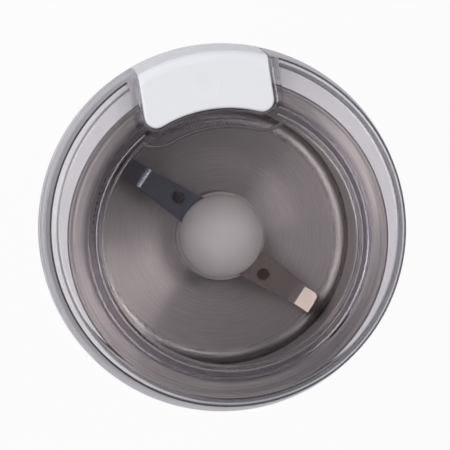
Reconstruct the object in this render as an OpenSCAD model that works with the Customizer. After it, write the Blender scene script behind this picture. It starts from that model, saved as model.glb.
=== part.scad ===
// Electric spice grinder: a round housing with a steel bowl and a two-arm
// blade, a clear lift-off lid, and one press button flush with the lid's edge.
// Millimetres, +Z up, +Y towards the button, origin on the table under the
// housing's axis. The bowl, the blade and the motor share a second axis,
// set off from the housing's axis away from the button.

/* [Housing] */
// Radius of the housing at the seam under the lid, its widest place
body_r = 47.5; // [44:0.5:52]
// Radius of the housing at its foot
base_r = 44; // [40:0.5:47]
// Height of the housing from its lower edge to the seam
body_h = 140; // [134:1:160]
// Wall thickness of the housing
wall = 2.4; // [2:0.1:2.8]
// Height of the neck above the seam
neck_h = 19; // [17:1:23]
// Radial step from the seam in to the neck
neck_step = 4; // [3.9:0.1:4.1]
// Thickness of the deck across the top of the neck
deck_t = 5.5; // [5:0.5:6.5]
// Radius of the rounded lower edge of the housing
foot_round = 2; // [1:0.5:3]

/* [Bowl] */
// Distance from the housing's axis to the bowl's and motor's axis
bowl_off = 2.4; // [2:0.1:2.6]
// Distance from the seam's edge in to the bowl's mouth
rim_w = 11.5; // [11.5:0.5:13]
// How much narrower the bowl is above the floor fillet than at its mouth
bowl_taper = 2.4; // [1.6:0.2:3]
// Depth from the bowl's flange to its floor
bowl_depth = 41; // [38:1:44]
// Radius of the fillet between floor and wall
bowl_fillet = 5; // [3:0.5:6]
// Radius of the rolled edge at the mouth
lip_round = 1.5; // [1:0.25:2]
// Thickness of the bowl's steel sheet
sheet_t = 0.8; // [0.6:0.1:1]
// Width of the flat flange round the mouth
flange_w = 4.3; // [3:0.1:4.3]
// Height of the raised centre of the bowl's floor
plateau_h = 3.5; // [2.5:0.5:4]
// Radius of the raised centre
plateau_r = 9.5; // [9.3:0.1:10.5]
// Thickness of the seal under the flange
seal_t = 1.2; // [1:0.1:1.5]

/* [Lid] */
// Height of the lid's top above the neck
lid_rise = 10; // [9.5:0.5:12]
// Thickness of the lid's top plate
plate_t = 2.6; // [2.2:0.1:3]
// Inward draft of the lid's outside over its height
lid_draft = 2.7; // [2.2:0.1:2.8]
// Radius of the lid's rounded top edge
lid_round = 3; // [2:0.5:3.5]
// Clearance between the lid and what it covers
lid_gap = 0.4; // [0.35:0.05:0.5]
// Thickness of the walls round the button's cut-out
cut_wall = 2; // [1.6:0.1:2.2]
// Width of the raised lip beyond those walls
lip_w = 2.2; // [1.5:0.1:2.6]
// Distance from the bowl's mouth in to the edge of the sunken window
window_in = 3.9; // [3.6:0.1:5]
// Depth of the sunken window
window_d = 1.2; // [0.8:0.1:1.5]
// Thickness of the window
window_t = 2.2; // [1.8:0.1:2.6]
// Thickness of the ring that hangs into the bowl's mouth
plug_t = 2; // [1.6:0.1:2.4]
// Radial play of that ring in the mouth
plug_play = 0.4; // [0.4:0.1:0.8]
// Depth of that ring below the bowl's flange
plug_d = 5; // [3:0.5:7]

/* [Button] */
// Width of the button
button_w = 32.8; // [28:0.2:34]
// Distance from the bowl's mouth in to the button's hollow side
hollow_in = 3.4; // [2.8:0.1:3.8]
// Radius of its two inner corners
corner_r = 3; // [2:0.5:4]
// Travel of the button
press = 3; // [2:0.25:3.25]
// Thickness of the button's top
button_t = 2; // [1.6:0.1:2.4]
// Wall thickness of the button
button_wall = 1.2; // [1:0.1:1.3]
// Height of the key block under the button's apron
key_h = 3; // [2:0.5:5]
// Radius of the thumb dimple in the button's top
dimple_r = 3.6; // [3:0.2:5]
// Depth of the thumb dimple
dimple_d = 0.25; // [0.15:0.05:0.4]
// Radius of the push rod
rod_r = 1.8; // [1.6:0.1:1.9]
// Distance of the push rod from the seam's edge
rod_in = 6.9; // [6.8:0.1:7]
// Clearance of a sliding rod or pin in its guide
slide_gap = 0.05; // [0.03:0.01:0.08]
// Gap left between pieces that only meet when they move
stop_gap = 0.3; // [0.3:0.05:0.4]

/* [Interlock] */
// Radius of the interlock pin
pin_r = 1.5; // [1.2:0.1:1.6]
// Distance of the pin from the seam's edge
pin_in = 6.6; // [6.5:0.1:6.8]
// Rise of the pin when the lid is off
pin_rise = 1.5; // [1:0.1:2]

/* [Blade] */
// Gap between the blade's tips and the bowl's wall
tip_gap = 3.1; // [1.6:0.1:4]
// Reach of the bent tips beyond the bends
tip_reach = 4.5; // [4:0.1:7]
// Angle of the two bent tips
bend_angle = 30; // [25:1:50]
// Width of an arm at the hub
root_w = 10.5; // [8:0.5:12]
// Width of an arm at its bend
tip_w = 5.5; // [4.5:0.1:7]
// Sideways offset of each arm's middle line from the axis
arm_off = 1.5; // [0:0.1:1.6]
// Thickness of the blade
blade_t = 1.5; // [1.2:0.1:2]
// Distance of the two small holes along the arms
hole_dist = 14.9; // [14.5:0.1:18]
// Sideways offset of the small holes from the arms' middle lines
hole_off = 0.8; // [0:0.1:1]
// Radius of the two small holes
hole_r = 1.5; // [1:0.1:2]
// Radius of the rounded corner of each tip
tip_corner = 1.4; // [0.8:0.1:2.4]
// Direction of the blade at rest, from +X
blade_angle = 137.5; // [0:0.5:180]
// Width of the ground edge along each arm
edge_w = 1.6; // [1:0.1:2]
// Radius of the domed cap over the blade
cap_r = 10.9; // [9:0.1:11]
// Height of the dome above the cap's straight edge
dome_h = 6.5; // [4:0.5:8]
// Height of the cap's straight edge
cap_edge = 1.5; // [1:0.1:2.5]
// Radius of the flange under the blade
hub_r = 11.6; // [11.2:0.1:12]
// Thickness of the flange under the blade
hub_t = 2; // [1.5:0.1:2.5]
// Height of the hub's flange above the bowl's raised centre
hub_lift = 2.7; // [2.4:0.1:3.5]

/* [Motor] */
// Radius of the drive shaft
shaft_r = 2.5; // [2:0.1:3]
// Running clearance of the shaft in its bearings
run_gap = 0.03; // [0.02:0.01:0.08]
// Outer radius of the stator
stator_r = 28; // [27.5:0.5:30]
// Half width of the stator across its flats
stator_flat = 25; // [24.5:0.5:26]
// Height of the stator's stack of plates
stack_h = 30; // [26:1:32]
// Radius of the rotor
rotor_r = 15; // [14:0.1:15.2]
// Air gap between rotor and stator
air_gap = 0.5; // [0.4:0.05:0.7]
// Number of slots in the rotor
rotor_slots = 12; // [8:1:14]
// Radius of the commutator
comm_r = 11; // [9:0.5:12]
// Height of the commutator
comm_h = 10; // [8:1:11]
// Number of commutator bars
comm_bars = 24; // [12:2:28]
// Radius of the fan
fan_r = 18.5; // [16:0.5:19]
// Number of fan blades
fan_blades = 9; // [6:1:12]
// Distance of the two long motor screws from the motor's axis
screw_dist = 23.5; // [23:0.1:24]
// Thickness of the carrier's plate
carrier_t = 3.5; // [3:0.5:4.5]

/* [Base] */
// Height of the rubber feet
foot_h = 3; // [2.5:0.5:5]
// Radius of a rubber foot
foot_r = 5; // [4:0.5:6]
// Distance of the feet from the housing's lower edge
foot_in = 12; // [11:0.5:14]
// Thickness of the base cover
cover_t = 2.5; // [2:0.1:3]
// Distance of the base screws from the housing's lower edge
base_screw_in = 7.5; // [7.1:0.1:8]
// Number of air slots in the base cover
vents = 14; // [8:1:18]
// Radius of the hole for the cord
cord_r = 3.4; // [3:0.1:3.8]
// Height of that hole above the housing's lower edge
cord_h = 14; // [13:0.5:20]

/* [Hidden] */
$fn = 96;

// Radial play of pieces that are fixed together
fit = 0.02;
// Small overlap that joins solids and clears faces in cuts
eps = 0.5;

// Heights, from the table up
seam_z = foot_h + body_h;
neck_z = seam_z + neck_h;
deck_z = neck_z - deck_t;
lid_z = neck_z + lid_rise;
neck_r = body_r - neck_step;
neck_in = neck_r - wall;
neck_edge = 0.4;

// Bowl
mouth_r = body_r - rim_w;
floor_r = mouth_r - bowl_taper;
flange_r = mouth_r + flange_w;
rebate_gap = 0.25;
rebate_z = neck_z - sheet_t - seal_t;
bowl_hole_r = mouth_r + sheet_t + lid_gap;
floor_z = neck_z - bowl_depth;
plateau_z = floor_z + plateau_h;
plateau_slope = 2;
bush_r = 5.5;
bush_flange_r = 9;
bush_flange_t = 1.4;

// Window, sunk into the lid's top
window_r = mouth_r - window_in;
lid_clear = 0.6;
lid_lead = 0.3;

// Blade, from the bowl's raised centre up
tip_r = floor_r - tip_gap;
bend_r = tip_r - tip_reach;
edge_land = 0.4;
hub_z = plateau_z + hub_lift;
blade_z = hub_z + hub_t;
cap_z = blade_z + blade_t;
dome_r = (cap_r * cap_r + dome_h * dome_h) / (2 * dome_h);
cap_top = cap_z + cap_edge + dome_h;

// Motor, from the bowl's floor down
under_bowl = 10.5;
carrier_top = floor_z - under_bowl;
carrier_z = carrier_top - carrier_t;
rib_h = 5.5;
rib_l = 14;
rib_t = 2;
air_hole_r = 3.2;
air_hole_dist = 18;
boss_r = 9;
bearing_r = 7;
bearing_h = 8;
bearing_z = carrier_z - 3;
motor_drop = 22;
stator_top = carrier_z - motor_drop;
stator_z = stator_top - stack_h;
spacer_r = 4;
coil_in = 17.5;
coil_out = 22.5;
coil_over = 7;
coil_span = 52;
coil_leg = 14;
coil_play = 0.4;
slot_r = 1.5;
winding_h = 6;
winding_r = rotor_r - 2.2;
winding_round = 1.8;
comm_drop = 9;
comm_top = stator_z - comm_drop;
comm_z = comm_top - comm_h;
comm_mid = comm_z + comm_h / 2;
comm_neck = 2.8;
bar_gap = 0.5;
bracket_z = comm_z - 6;
bracket_t = 3;
bracket_w = 12;
bracket_arm = 4;
bracket_leg = 2.5;
low_bearing_r = bearing_r - 1;
low_bearing_h = 6;
low_bearing_z = bracket_z - 2;
shaft_z = bracket_z - 4;
shaft_in_cap = 3.3;
motor_screw_r = 2;
brush_w = 5;
brush_l = 9;
holder_w = 8;
holder_l = 16;
holder_gap = 1.5;
brush_coil_r = 1.8;
brush_coil_l = 6;
brush_wire = 0.5;
fan_z = stator_top + coil_over + 2.5;
fan_disc_t = 1.4;
fan_h = 6.5;
fan_hub_r = 5;
fan_blade_t = 1.2;

// Button
hollow_r = mouth_r - hollow_in;
button_in = button_w / 2 - corner_r;
apron_z = seam_z + key_h + press + stop_gap;
cap_under = neck_z + press + stop_gap;
boss_out = 3.4;
boss_h = 1.6;
spring_wire = 0.5;
spring_play = 0.4;
coil_end = 0.2;
leg_x = 8.5;
leg_w = 4;
leg_t = 1.8;
leg_in = 9.4;
leg_y = body_r - leg_in;
hook = 1.2;
hook_h = 2;
guide_wall = 1.8;

// Switches and the rods that work them
rod_y = body_r - rod_in;
switch_h = 11;
switch_w = 16;
switch_d = 6.6;
switch_out = 2;
switch_top = carrier_top + switch_h;
plunger_r = 1.2;
plunger_in = 4;
rod_end = switch_top + press + stop_gap;
rod_top = lid_z - button_t - 0.1;
rod_guide_z = seam_z - 9;
pin_dist = body_r - pin_in;
pin_x = button_w / 2 + stop_gap + pin_r;
pin_y = sqrt(pin_dist * pin_dist - pin_x * pin_x);
pin_turn = atan2(pin_y, pin_x);
pin_top = neck_z + stop_gap;
pin_in_switch = 3;
lock_switch_w = 12;
collar_z = switch_top + 8.5;
collar_h = 1.5;
collar_r = 2.6;
pin_wire = 0.5;
pin_guide_z = collar_z + collar_h + pin_rise + stop_gap;

// Fastenings
carrier_posts = [20, 160, 235, 305];
post_r = 3.4;
post_in = 2.3;
base_posts = [90, 210, 330];
base_screw_dist = base_r - base_screw_in;
foot_dist = base_r - foot_in;
base_post_h = 18;
base_post_z = foot_h + 5;
screw_r = 1.5;
screw_l = 14;
big_screw_r = 1.9;
head_room = 0.4;
foot_stem_r = 2;
bush_hole_r = 4.6;

// Base cover
cover_r = base_r - wall - stop_gap;
rim_h = 4.7;
rim_t = 2;
slot_in = 12;
slot_l = 11;
slot_w = 2.5;
screw_sink = 2.6;

// Rubber bushing for the cord
bush_neck = bush_hole_r - fit;
bush_lip = 1.6;
bush_out = 1.3;
bush_seat = 0.2;
bush_tail = 2.2;

// Electrical pieces on the base cover
cap_l = 18;
cap_w = 8;
cap_h = 13;
block_l = 15;
block_w = 9;
block_screw_r = 1.3;
block_x = 17 - base_r;
block_y = -14;
block_pitch = 4;
board_z = foot_h + cover_t;

function outer_r(z) = base_r + (body_r - base_r) * (z - foot_h - foot_round) / (body_h - foot_round);
function carrier_r() = outer_r(carrier_z) - wall;
function post_dist() = carrier_r() - post_in;
function arc(x, y, r, a0, a1, n) =
    [for (i = [0:n]) let (a = a0 + (a1 - a0) * i / n) [x + r * cos(a), y + r * sin(a)]];

// Moves its children to the axis of the bowl and the motor
module bowl_axis() {
    translate([0, -bowl_off, 0])
        children();
}

// A tube or, without a bore, a rod standing at height z
module tube(r, h, z = 0, bore = 0) {
    translate([0, 0, z])
        difference() {
            cylinder(r = r, h = h);
            if (bore > 0)
                translate([0, 0, -eps])
                    cylinder(r = bore, h = h + 2 * eps);
        }
}

// A pan-head screw that points up, its head's underside at height z
module screw(r, length, z) {
    head_h = 1.3 * r;
    tube(r, length, z - fit);
    difference() {
        tube(2 * r, head_h, z - head_h);
        for (turn = [0, 90])
            translate([0, 0, z - head_h])
                rotate([0, 0, turn])
                    cube([2.2 * r, 0.5 * r, r], center = true);
    }
}

// A round-wire coil spring that stands on height z
module coil(r, wire, h, z, turns) {
    sides = 6;
    steps = 14;
    n = floor(turns * steps);
    rise = (h - wire) / n;
    points = [for (i = [0:n]) for (j = [0:sides - 1])
        let (a = 360 * i / steps, b = 360 * j / sides, q = r + wire / 2 * cos(b))
        [q * cos(a), q * sin(a), z + wire / 2 + rise * i + wire / 2 * sin(b)]];
    tube_faces = [for (i = [0:n - 1]) for (j = [0:sides - 1])
        let (k = (j + 1) % sides)
        [i * sides + j, i * sides + k, (i + 1) * sides + k, (i + 1) * sides + j]];
    start = [for (j = [sides - 1:-1:0]) j];
    end = [for (j = [0:sides - 1]) n * sides + j];
    polyhedron(points = points, faces = concat(tube_faces, [start], [end]));
}

// Plan of the button, grown by g on every side but its outer one
module button_plan(g = 0) {
    reach = hollow_r + corner_r;
    corner_y = sqrt(reach * reach - button_in * button_in) - bowl_off;
    side = button_w / 2 + g;
    r = corner_r + g;
    ux = -button_in / reach;
    uy = -(corner_y + bowl_off) / reach;
    difference() {
        translate([-side, 0])
            square([2 * side, body_r + 10]);
        translate([0, -bowl_off])
            circle(hollow_r - g);
        for (s = [-1, 1])
            polygon([[s * button_in, corner_y], [s * (side + 1), corner_y], [s * (side + 1), 0],
                     [s * (button_in + ux * (r + 10)), corner_y + uy * (r + 10)]]);
    }
    for (s = [-1, 1])
        translate([s * button_in, corner_y])
            circle(r);
}

// The outside of the housing below the lid, solid
module housing_solid() {
    rotate_extrude()
        polygon(concat([[0, foot_h], [base_r - foot_round, foot_h]],
                       arc(base_r - foot_round, foot_h + foot_round, foot_round, -75, 0, 5),
                       [[body_r, seam_z - 0.3], [body_r - 0.3, seam_z], [neck_r, seam_z],
                        [neck_r, neck_z - neck_edge], [neck_r - neck_edge, neck_z],
                        [0, neck_z]]));
}

// The hollow of the housing under the shoulder and the deck
module housing_hollow() {
    rotate_extrude()
        polygon([[0, foot_h - eps], [base_r - wall, foot_h - eps],
                 [base_r - wall, foot_h + foot_round], [body_r - wall, seam_z - wall - 1],
                 [body_r - wall - 1, seam_z - wall], [neck_in + 1, seam_z - wall],
                 [neck_in, seam_z - wall + 1], [neck_in, deck_z - 1],
                 [neck_in - 1, deck_z], [0, deck_z]]);
}

// The envelope that the lid and the button share, solid, down to height z
module lid_solid(z) {
    top_r = body_r - lid_draft;
    low_r = body_r - lid_draft * (z - seam_z) / (lid_z - lid_round - seam_z);
    rotate_extrude()
        polygon(concat([[0, z], [low_r, z]],
                       arc(top_r - lid_round, lid_z - lid_round, lid_round, 0, 90, 8),
                       [[0, lid_z]]));
}

// Round posts on the wall's inside, each with a web out to the wall
module wall_post(x_dist, r, z0, z1) {
    translate([x_dist, 0, z0])
        cylinder(r = r, h = z1 - z0);
    translate([x_dist, -r, z0])
        cube([body_r - x_dist, 2 * r, z1 - z0]);
}

module housing_posts() {
    for (a = carrier_posts)
        rotate([0, 0, a])
            wall_post(post_dist(), post_r, carrier_top, seam_z);
    for (a = base_posts)
        rotate([0, 0, a])
            wall_post(base_screw_dist, post_r, base_post_z, base_post_z + base_post_h);
    rotate([0, 0, 90])
        wall_post(rod_y, rod_r + guide_wall, rod_guide_z, neck_z - eps);
    rotate([0, 0, pin_turn])
        wall_post(pin_dist, pin_r + guide_wall, pin_guide_z, neck_z - eps);
}

module outer_housing() {
    color("white")
        difference() {
            union() {
                difference() {
                    housing_solid();
                    housing_hollow();
                }
                intersection() {
                    housing_solid();
                    housing_posts();
                }
                // Key block that fills the foot of the lid's cut-out
                intersection() {
                    difference() {
                        lid_solid(seam_z - eps);
                        tube(neck_r - eps, neck_h, seam_z - 1);
                    }
                    translate([0, 0, seam_z - 0.4])
                        linear_extrude(height = key_h + 0.4)
                            button_plan();
                }
            }
            bowl_axis() {
                tube(bowl_hole_r, deck_t + 2 * eps, deck_z - eps);
                tube(flange_r + rebate_gap, deck_t, rebate_z);
            }
            translate([0, rod_y, 0])
                tube(rod_r + slide_gap, neck_h + 15, rod_guide_z - eps);
            translate([pin_x, pin_y, 0])
                tube(pin_r + slide_gap, neck_h + 20, pin_guide_z - eps);
            // Slots for the button's two snap legs
            for (s = [-1, 1])
                translate([s * (leg_x + leg_w / 2) - leg_w / 2 - stop_gap, leg_y - stop_gap, deck_z - 8])
                    cube([leg_w + 2 * stop_gap, leg_t + 2 * stop_gap, deck_t + 9]);
            for (a = carrier_posts)
                rotate([0, 0, a])
                    translate([post_dist(), 0, 0])
                        tube(big_screw_r + fit, screw_l, carrier_top - eps);
            for (a = base_posts)
                rotate([0, 0, a])
                    translate([base_screw_dist, 0, 0])
                        tube(screw_r + fit, screw_l, base_post_z - eps);
            translate([0, -body_r, foot_h + cord_h])
                rotate([-90, 0, 0])
                    cylinder(r = bush_hole_r, h = body_r - base_r + 2 * wall);
        }
}

module base_cover() {
    color("gainsboro")
        difference() {
            union() {
                tube(cover_r, cover_t, foot_h);
                difference() {
                    tube(cover_r, rim_h, foot_h);
                    tube(cover_r - rim_t, rim_h, foot_h + 1);
                }
                for (a = base_posts)
                    rotate([0, 0, a])
                        translate([base_screw_dist, 0, 0])
                            tube(post_r + 1, base_post_z - foot_h, foot_h);
            }
            // Air slots, in a ring
            for (i = [0:vents - 1])
                rotate([0, 0, (i + 0.5) * 360 / vents])
                    translate([slot_in, -slot_w / 2, foot_h - eps])
                        cube([slot_l, slot_w, cover_t + 2 * eps]);
            for (a = base_posts)
                rotate([0, 0, a])
                    translate([base_screw_dist, 0, 0]) {
                        tube(screw_r + stop_gap, base_post_z - foot_h + 2 * eps, foot_h - eps);
                        tube(2 * screw_r + head_room, screw_sink + eps, foot_h - eps);
                    }
            for (a = [45:90:315])
                rotate([0, 0, a])
                    translate([foot_dist, 0, 0])
                        tube(foot_stem_r, cover_t + 2 * eps, foot_h - eps);
        }
}

module base_screws() {
    color("silver")
        for (a = base_posts)
            rotate([0, 0, a])
                translate([base_screw_dist, 0, 0])
                    screw(screw_r, screw_l, foot_h + screw_sink);
}

module rubber_feet() {
    stem_r = foot_stem_r - fit;
    barb = 0.8;
    barb_h = 1.6;
    color("dimgray")
        for (a = [45:90:315])
            rotate([0, 0, a])
                translate([foot_dist, 0, 0])
                    rotate_extrude()
                        polygon([[0, 0], [foot_r - barb, 0], [foot_r, barb], [foot_r, foot_h],
                                 [stem_r, foot_h], [stem_r, board_z], [stem_r + barb, board_z],
                                 [stem_r, board_z + barb_h], [0, board_z + barb_h]]);
}

module cord_bushing() {
    z = foot_h + cord_h;
    lip_r = bush_neck + bush_lip;
    inner = wall + 0.6;
    color("dimgray")
        translate([0, -outer_r(z), z])
            rotate([-90, 0, 0])
                rotate_extrude()
                    polygon([[cord_r, -bush_out], [lip_r - 0.6, -bush_out], [lip_r, 0.6 - bush_out],
                             [lip_r, -bush_seat], [bush_neck, -bush_seat], [bush_neck, inner],
                             [lip_r - 0.4, inner], [bush_neck + 0.6, wall + bush_tail],
                             [cord_r, wall + bush_tail]]);
}

module bowl() {
    out = floor_r - bowl_fillet;
    wall_z = floor_z + bowl_fillet;
    lip_z = neck_z - lip_round;
    hole = bush_r + 0.2;
    slope_r = plateau_r + plateau_slope;
    color("silver")
        bowl_axis()
            rotate_extrude()
                polygon(concat(
                    [[hole, plateau_z], [plateau_r, plateau_z], [slope_r, floor_z]],
                    arc(out, wall_z, bowl_fillet, -90, 0, 8),
                    arc(mouth_r + lip_round, lip_z, lip_round, 180, 90, 5),
                    [[flange_r, neck_z], [flange_r, neck_z - sheet_t]],
                    arc(mouth_r + lip_round, lip_z, lip_round - sheet_t, 90, 180, 4),
                    arc(out, wall_z, bowl_fillet + sheet_t, 0, -90, 8),
                    [[slope_r - 0.3, floor_z - sheet_t], [plateau_r - 0.3, plateau_z - sheet_t],
                     [hole, plateau_z - sheet_t]]));
}

module bowl_seal() {
    color("dimgray")
        bowl_axis()
            tube(flange_r, seal_t, rebate_z, bowl_hole_r + rebate_gap);
}

module bowl_bush() {
    color("darkgray")
        bowl_axis()
            difference() {
                union() {
                    tube(bush_r, plateau_z - bearing_z - bearing_h, bearing_z + bearing_h);
                    tube(bush_flange_r, bush_flange_t, plateau_z);
                }
                tube(shaft_r + 0.4, 30, bearing_z);
                tube(bush_r - 0.8, 6, plateau_z - 3.4);
            }
}

module bowl_carrier() {
    color("dimgray")
        difference() {
            union() {
                tube(carrier_r() - head_room, carrier_t, carrier_z);
                bowl_axis() {
                    tube(boss_r, plateau_z - sheet_t - bearing_z, bearing_z);
                    // Ribs that stiffen the boss
                    for (a = [45:45:360])
                        rotate([0, 0, a])
                            translate([boss_r - 1, -rib_t / 2, carrier_top - eps])
                                cube([rib_l, rib_t, rib_h + eps]);
                }
            }
            bowl_axis() {
                tube(bearing_r + fit, bearing_h + eps, bearing_z - eps);
                tube(bush_r + fit, 2 * under_bowl, bearing_z);
                for (s = [-1, 1])
                    translate([s * screw_dist, 0, 0])
                        tube(motor_screw_r + fit, carrier_t + 2 * eps, carrier_z - eps);
                // Air holes
                for (a = [22.5:45:360])
                    rotate([0, 0, a])
                        translate([air_hole_dist, 0, 0])
                            tube(air_hole_r, carrier_t + 2 * eps, carrier_z - eps);
            }
            for (a = carrier_posts)
                rotate([0, 0, a])
                    translate([post_dist(), 0, 0])
                        tube(big_screw_r + 0.2, carrier_t + 2 * eps, carrier_z - eps);
        }
}

// Their heads are cut flat on the side of the wall
module carrier_screws() {
    flat = post_in - head_room;
    long = screw_l + 1;
    color("silver")
        for (a = carrier_posts)
            rotate([0, 0, a])
                translate([post_dist(), 0, 0])
                    intersection() {
                        screw(big_screw_r, long, carrier_z);
                        translate([flat - 2 * long, -long, carrier_z - long])
                            cube([2 * long, 2 * long, 3 * long]);
                    }
}

module lid() {
    low = seam_z + stop_gap;
    clear_z = neck_z + lid_clear;
    in_r = neck_r + lid_gap;
    plug_r = mouth_r - plug_play;
    cut = lid_gap + cut_wall;
    color([0.8, 0.8, 0.85, 0.4])
        difference() {
            union() {
                // Skirt and top plate
                difference() {
                    lid_solid(low);
                    rotate_extrude()
                        polygon([[0, low - eps], [in_r + lid_lead, low - eps], [in_r, low + 1],
                                 [in_r, clear_z], [in_r - 0.5, lid_z - plate_t - 0.8],
                                 [in_r - 1.6, lid_z - plate_t], [0, lid_z - plate_t]]);
                }
                bowl_axis() {
                    tube(plug_r, window_t, lid_z - window_d - window_t);
                    tube(plug_r, lid_rise + plug_d - window_d, neck_z - plug_d, plug_r - plug_t);
                }
                // Walls round the button, over the deck and down into the mouth
                intersection() {
                    lid_solid(clear_z);
                    linear_extrude(height = lid_z)
                        button_plan(cut);
                }
                intersection() {
                    bowl_axis()
                        tube(plug_r, lid_rise, neck_z - plug_d);
                    linear_extrude(height = lid_z)
                        button_plan(cut);
                }
            }
            translate([0, 0, low - 1])
                linear_extrude(height = lid_z)
                    button_plan(lid_gap);
            // Sunken window with a raised lip beside the button
            difference() {
                bowl_axis()
                    tube(window_r, window_d + eps, lid_z - window_d);
                linear_extrude(height = lid_z + 1)
                    button_plan(cut + lip_w);
            }
        }
}

module start_button() {
    top_in = lid_z - button_t;
    color("whitesmoke")
        difference() {
            union() {
                difference() {
                    intersection() {
                        lid_solid(apron_z);
                        linear_extrude(height = lid_z + 1)
                            button_plan();
                    }
                    // Room for the neck behind the apron and for the travel
                    tube(neck_r + lid_gap, cap_under - seam_z, seam_z);
                    // Hollow under the top
                    intersection() {
                        tube(body_r - lid_draft - button_wall, top_in - seam_z, seam_z);
                        linear_extrude(height = lid_z)
                            button_plan(-button_wall);
                    }
                }
                translate([0, rod_y, 0])
                    tube(boss_out, boss_h + fit, top_in - boss_h);
                // Snap legs with hooks under the deck
                for (s = [-1, 1])
                    translate([s * (leg_x + leg_w / 2) - leg_w / 2, leg_y, 0]) {
                        translate([0, 0, deck_z - stop_gap - hook_h])
                            cube([leg_w, leg_t, top_in + fit - deck_z + stop_gap + hook_h]);
                        translate([0, -hook, deck_z - stop_gap - hook_h])
                            cube([leg_w, hook + fit, hook_h]);
                    }
            }
            translate([0, rod_y, 0])
                tube(rod_r + fit, rod_top + 0.1 - neck_z, neck_z);
            // Shallow thumb dimple
            translate([0, (hollow_r - bowl_off + body_r - lid_draft - lid_round) / 2, 0]) {
                ball = (dimple_r * dimple_r + dimple_d * dimple_d) / (2 * dimple_d);
                translate([0, 0, lid_z - dimple_d + ball])
                    sphere(r = ball, $fn = 240);
            }
        }
}

module push_rod() {
    color("gainsboro")
        translate([0, rod_y, 0])
            tube(rod_r, rod_top - rod_end, rod_end);
}

module button_spring() {
    color("silver")
        translate([0, rod_y, 0])
            coil(rod_r + spring_play + spring_wire / 2, spring_wire,
                 lid_z - button_t - boss_h - neck_z - 2 * coil_end, neck_z + coil_end, 3.5);
}

module start_switch() {
    color("dimgray")
        difference() {
            translate([-switch_w / 2, rod_y + switch_out - switch_d, carrier_top])
                cube([switch_w, switch_d, switch_h]);
            translate([0, rod_y, 0])
                tube(plunger_r + slide_gap, plunger_in + press + 2, switch_top - plunger_in - press - 0.5);
            // Two mounting holes
            for (s = [-1, 1])
                translate([s * 0.35 * switch_w, 0, carrier_top + 2.6])
                    rotate([-90, 0, 0])
                        cylinder(r = 1.1, h = 2 * body_r);
        }
}

module switch_plunger() {
    color("firebrick")
        translate([0, rod_y, 0])
            tube(plunger_r, plunger_in + press, switch_top - plunger_in);
}

module interlock_pin() {
    color("gainsboro")
        translate([pin_x, pin_y, 0]) {
            tube(pin_r, pin_top - switch_top + pin_in_switch, switch_top - pin_in_switch);
            tube(collar_r, collar_h, collar_z);
        }
}

module interlock_spring() {
    color("silver")
        translate([pin_x, pin_y, 0])
            coil(pin_r + coil_play + pin_wire / 2, pin_wire, collar_z - switch_top - 2 * coil_end,
                 switch_top + coil_end, 5);
}

module interlock_switch() {
    color("dimgray")
        rotate([0, 0, pin_turn])
            difference() {
                translate([pin_dist + switch_out - switch_d, -lock_switch_w / 2, carrier_top])
                    cube([switch_d, lock_switch_w, switch_h]);
                translate([pin_dist, 0, 0])
                    tube(pin_r + slide_gap, pin_in_switch + 4, switch_top - pin_in_switch - 2);
            }
}

// One arm of the blade along +X, its tip bent up by the given angle
module blade_arm(bend) {
    half_t = blade_t / 2;
    mitre = half_t * tan(bend / 2);
    tip_l = (tip_r - bend_r - half_t * sin(abs(bend))) / cos(bend);
    end_x = bend_r + tip_l * cos(bend);
    end_z = half_t + tip_l * sin(bend);
    dx = half_t * sin(bend);
    dz = half_t * cos(bend);
    round_x = tip_r + 0.3 - tip_corner;
    round_y = tip_w / 2 - tip_corner;
    taper = atan((root_w - tip_w) / 2 / bend_r);
    difference() {
        intersection() {
            // Bent strip, seen from the side
            rotate([90, 0, 0])
                linear_extrude(height = 2 * root_w, center = true)
                    polygon([[0, 0], [bend_r + mitre, 0], [end_x + dx, end_z - dz],
                             [end_x - dx, end_z + dz], [bend_r - mitre, blade_t], [0, blade_t]]);
            // Outline, seen from above
            translate([0, 0, -tip_r])
                linear_extrude(height = 2 * tip_r) {
                    polygon([[0, -root_w / 2], [bend_r, -tip_w / 2], [tip_r + 1, -tip_w / 2],
                             [tip_r + 1, round_y], [round_x, round_y], [round_x, tip_w / 2],
                             [bend_r, tip_w / 2], [0, root_w / 2]]);
                    translate([round_x, round_y])
                        circle(tip_corner);
                }
        }
        // Ground edge under the arm's leading side
        translate([0, root_w / 2, 0])
            rotate([0, 0, -taper])
                translate([cap_r + 1, -edge_w, 0])
                    rotate([atan((blade_t - edge_land) / edge_w), 0, 0])
                        translate([0, 0, -blade_t])
                            cube([bend_r - cap_r - 2, 2 * edge_w, blade_t]);
        translate([hole_dist, -hole_off, -1])
            cylinder(r = hole_r, h = blade_t + 2);
    }
}

module blade() {
    color("lightsteelblue")
        bowl_axis()
            translate([0, 0, blade_z])
                rotate([0, 0, blade_angle])
                    difference() {
                        union() {
                            translate([0, -arm_off, 0])
                                blade_arm(-bend_angle);
                            rotate([0, 0, 180])
                                translate([0, -arm_off, 0])
                                    blade_arm(bend_angle);
                            cylinder(r = cap_r - 2, h = blade_t);
                        }
                        translate([0, 0, -1])
                            cylinder(r = shaft_r + fit, h = blade_t + 2);
                    }
}

module blade_cap() {
    color("tan")
        bowl_axis()
            difference() {
                intersection() {
                    tube(cap_r, cap_edge + dome_h, cap_z);
                    translate([0, 0, cap_top - dome_r])
                        sphere(r = dome_r);
                }
                tube(shaft_r + fit, 4, cap_z - eps);
            }
}

module blade_hub() {
    color("darkgray")
        bowl_axis()
            difference() {
                union() {
                    tube(hub_r, hub_t, hub_z);
                    tube(6, 1, hub_z - 0.8);
                }
                tube(shaft_r + fit, 8, hub_z - 2);
            }
}

module drive_shaft() {
    color("silver")
        bowl_axis()
            tube(shaft_r, cap_z + shaft_in_cap - shaft_z, shaft_z);
}

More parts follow.
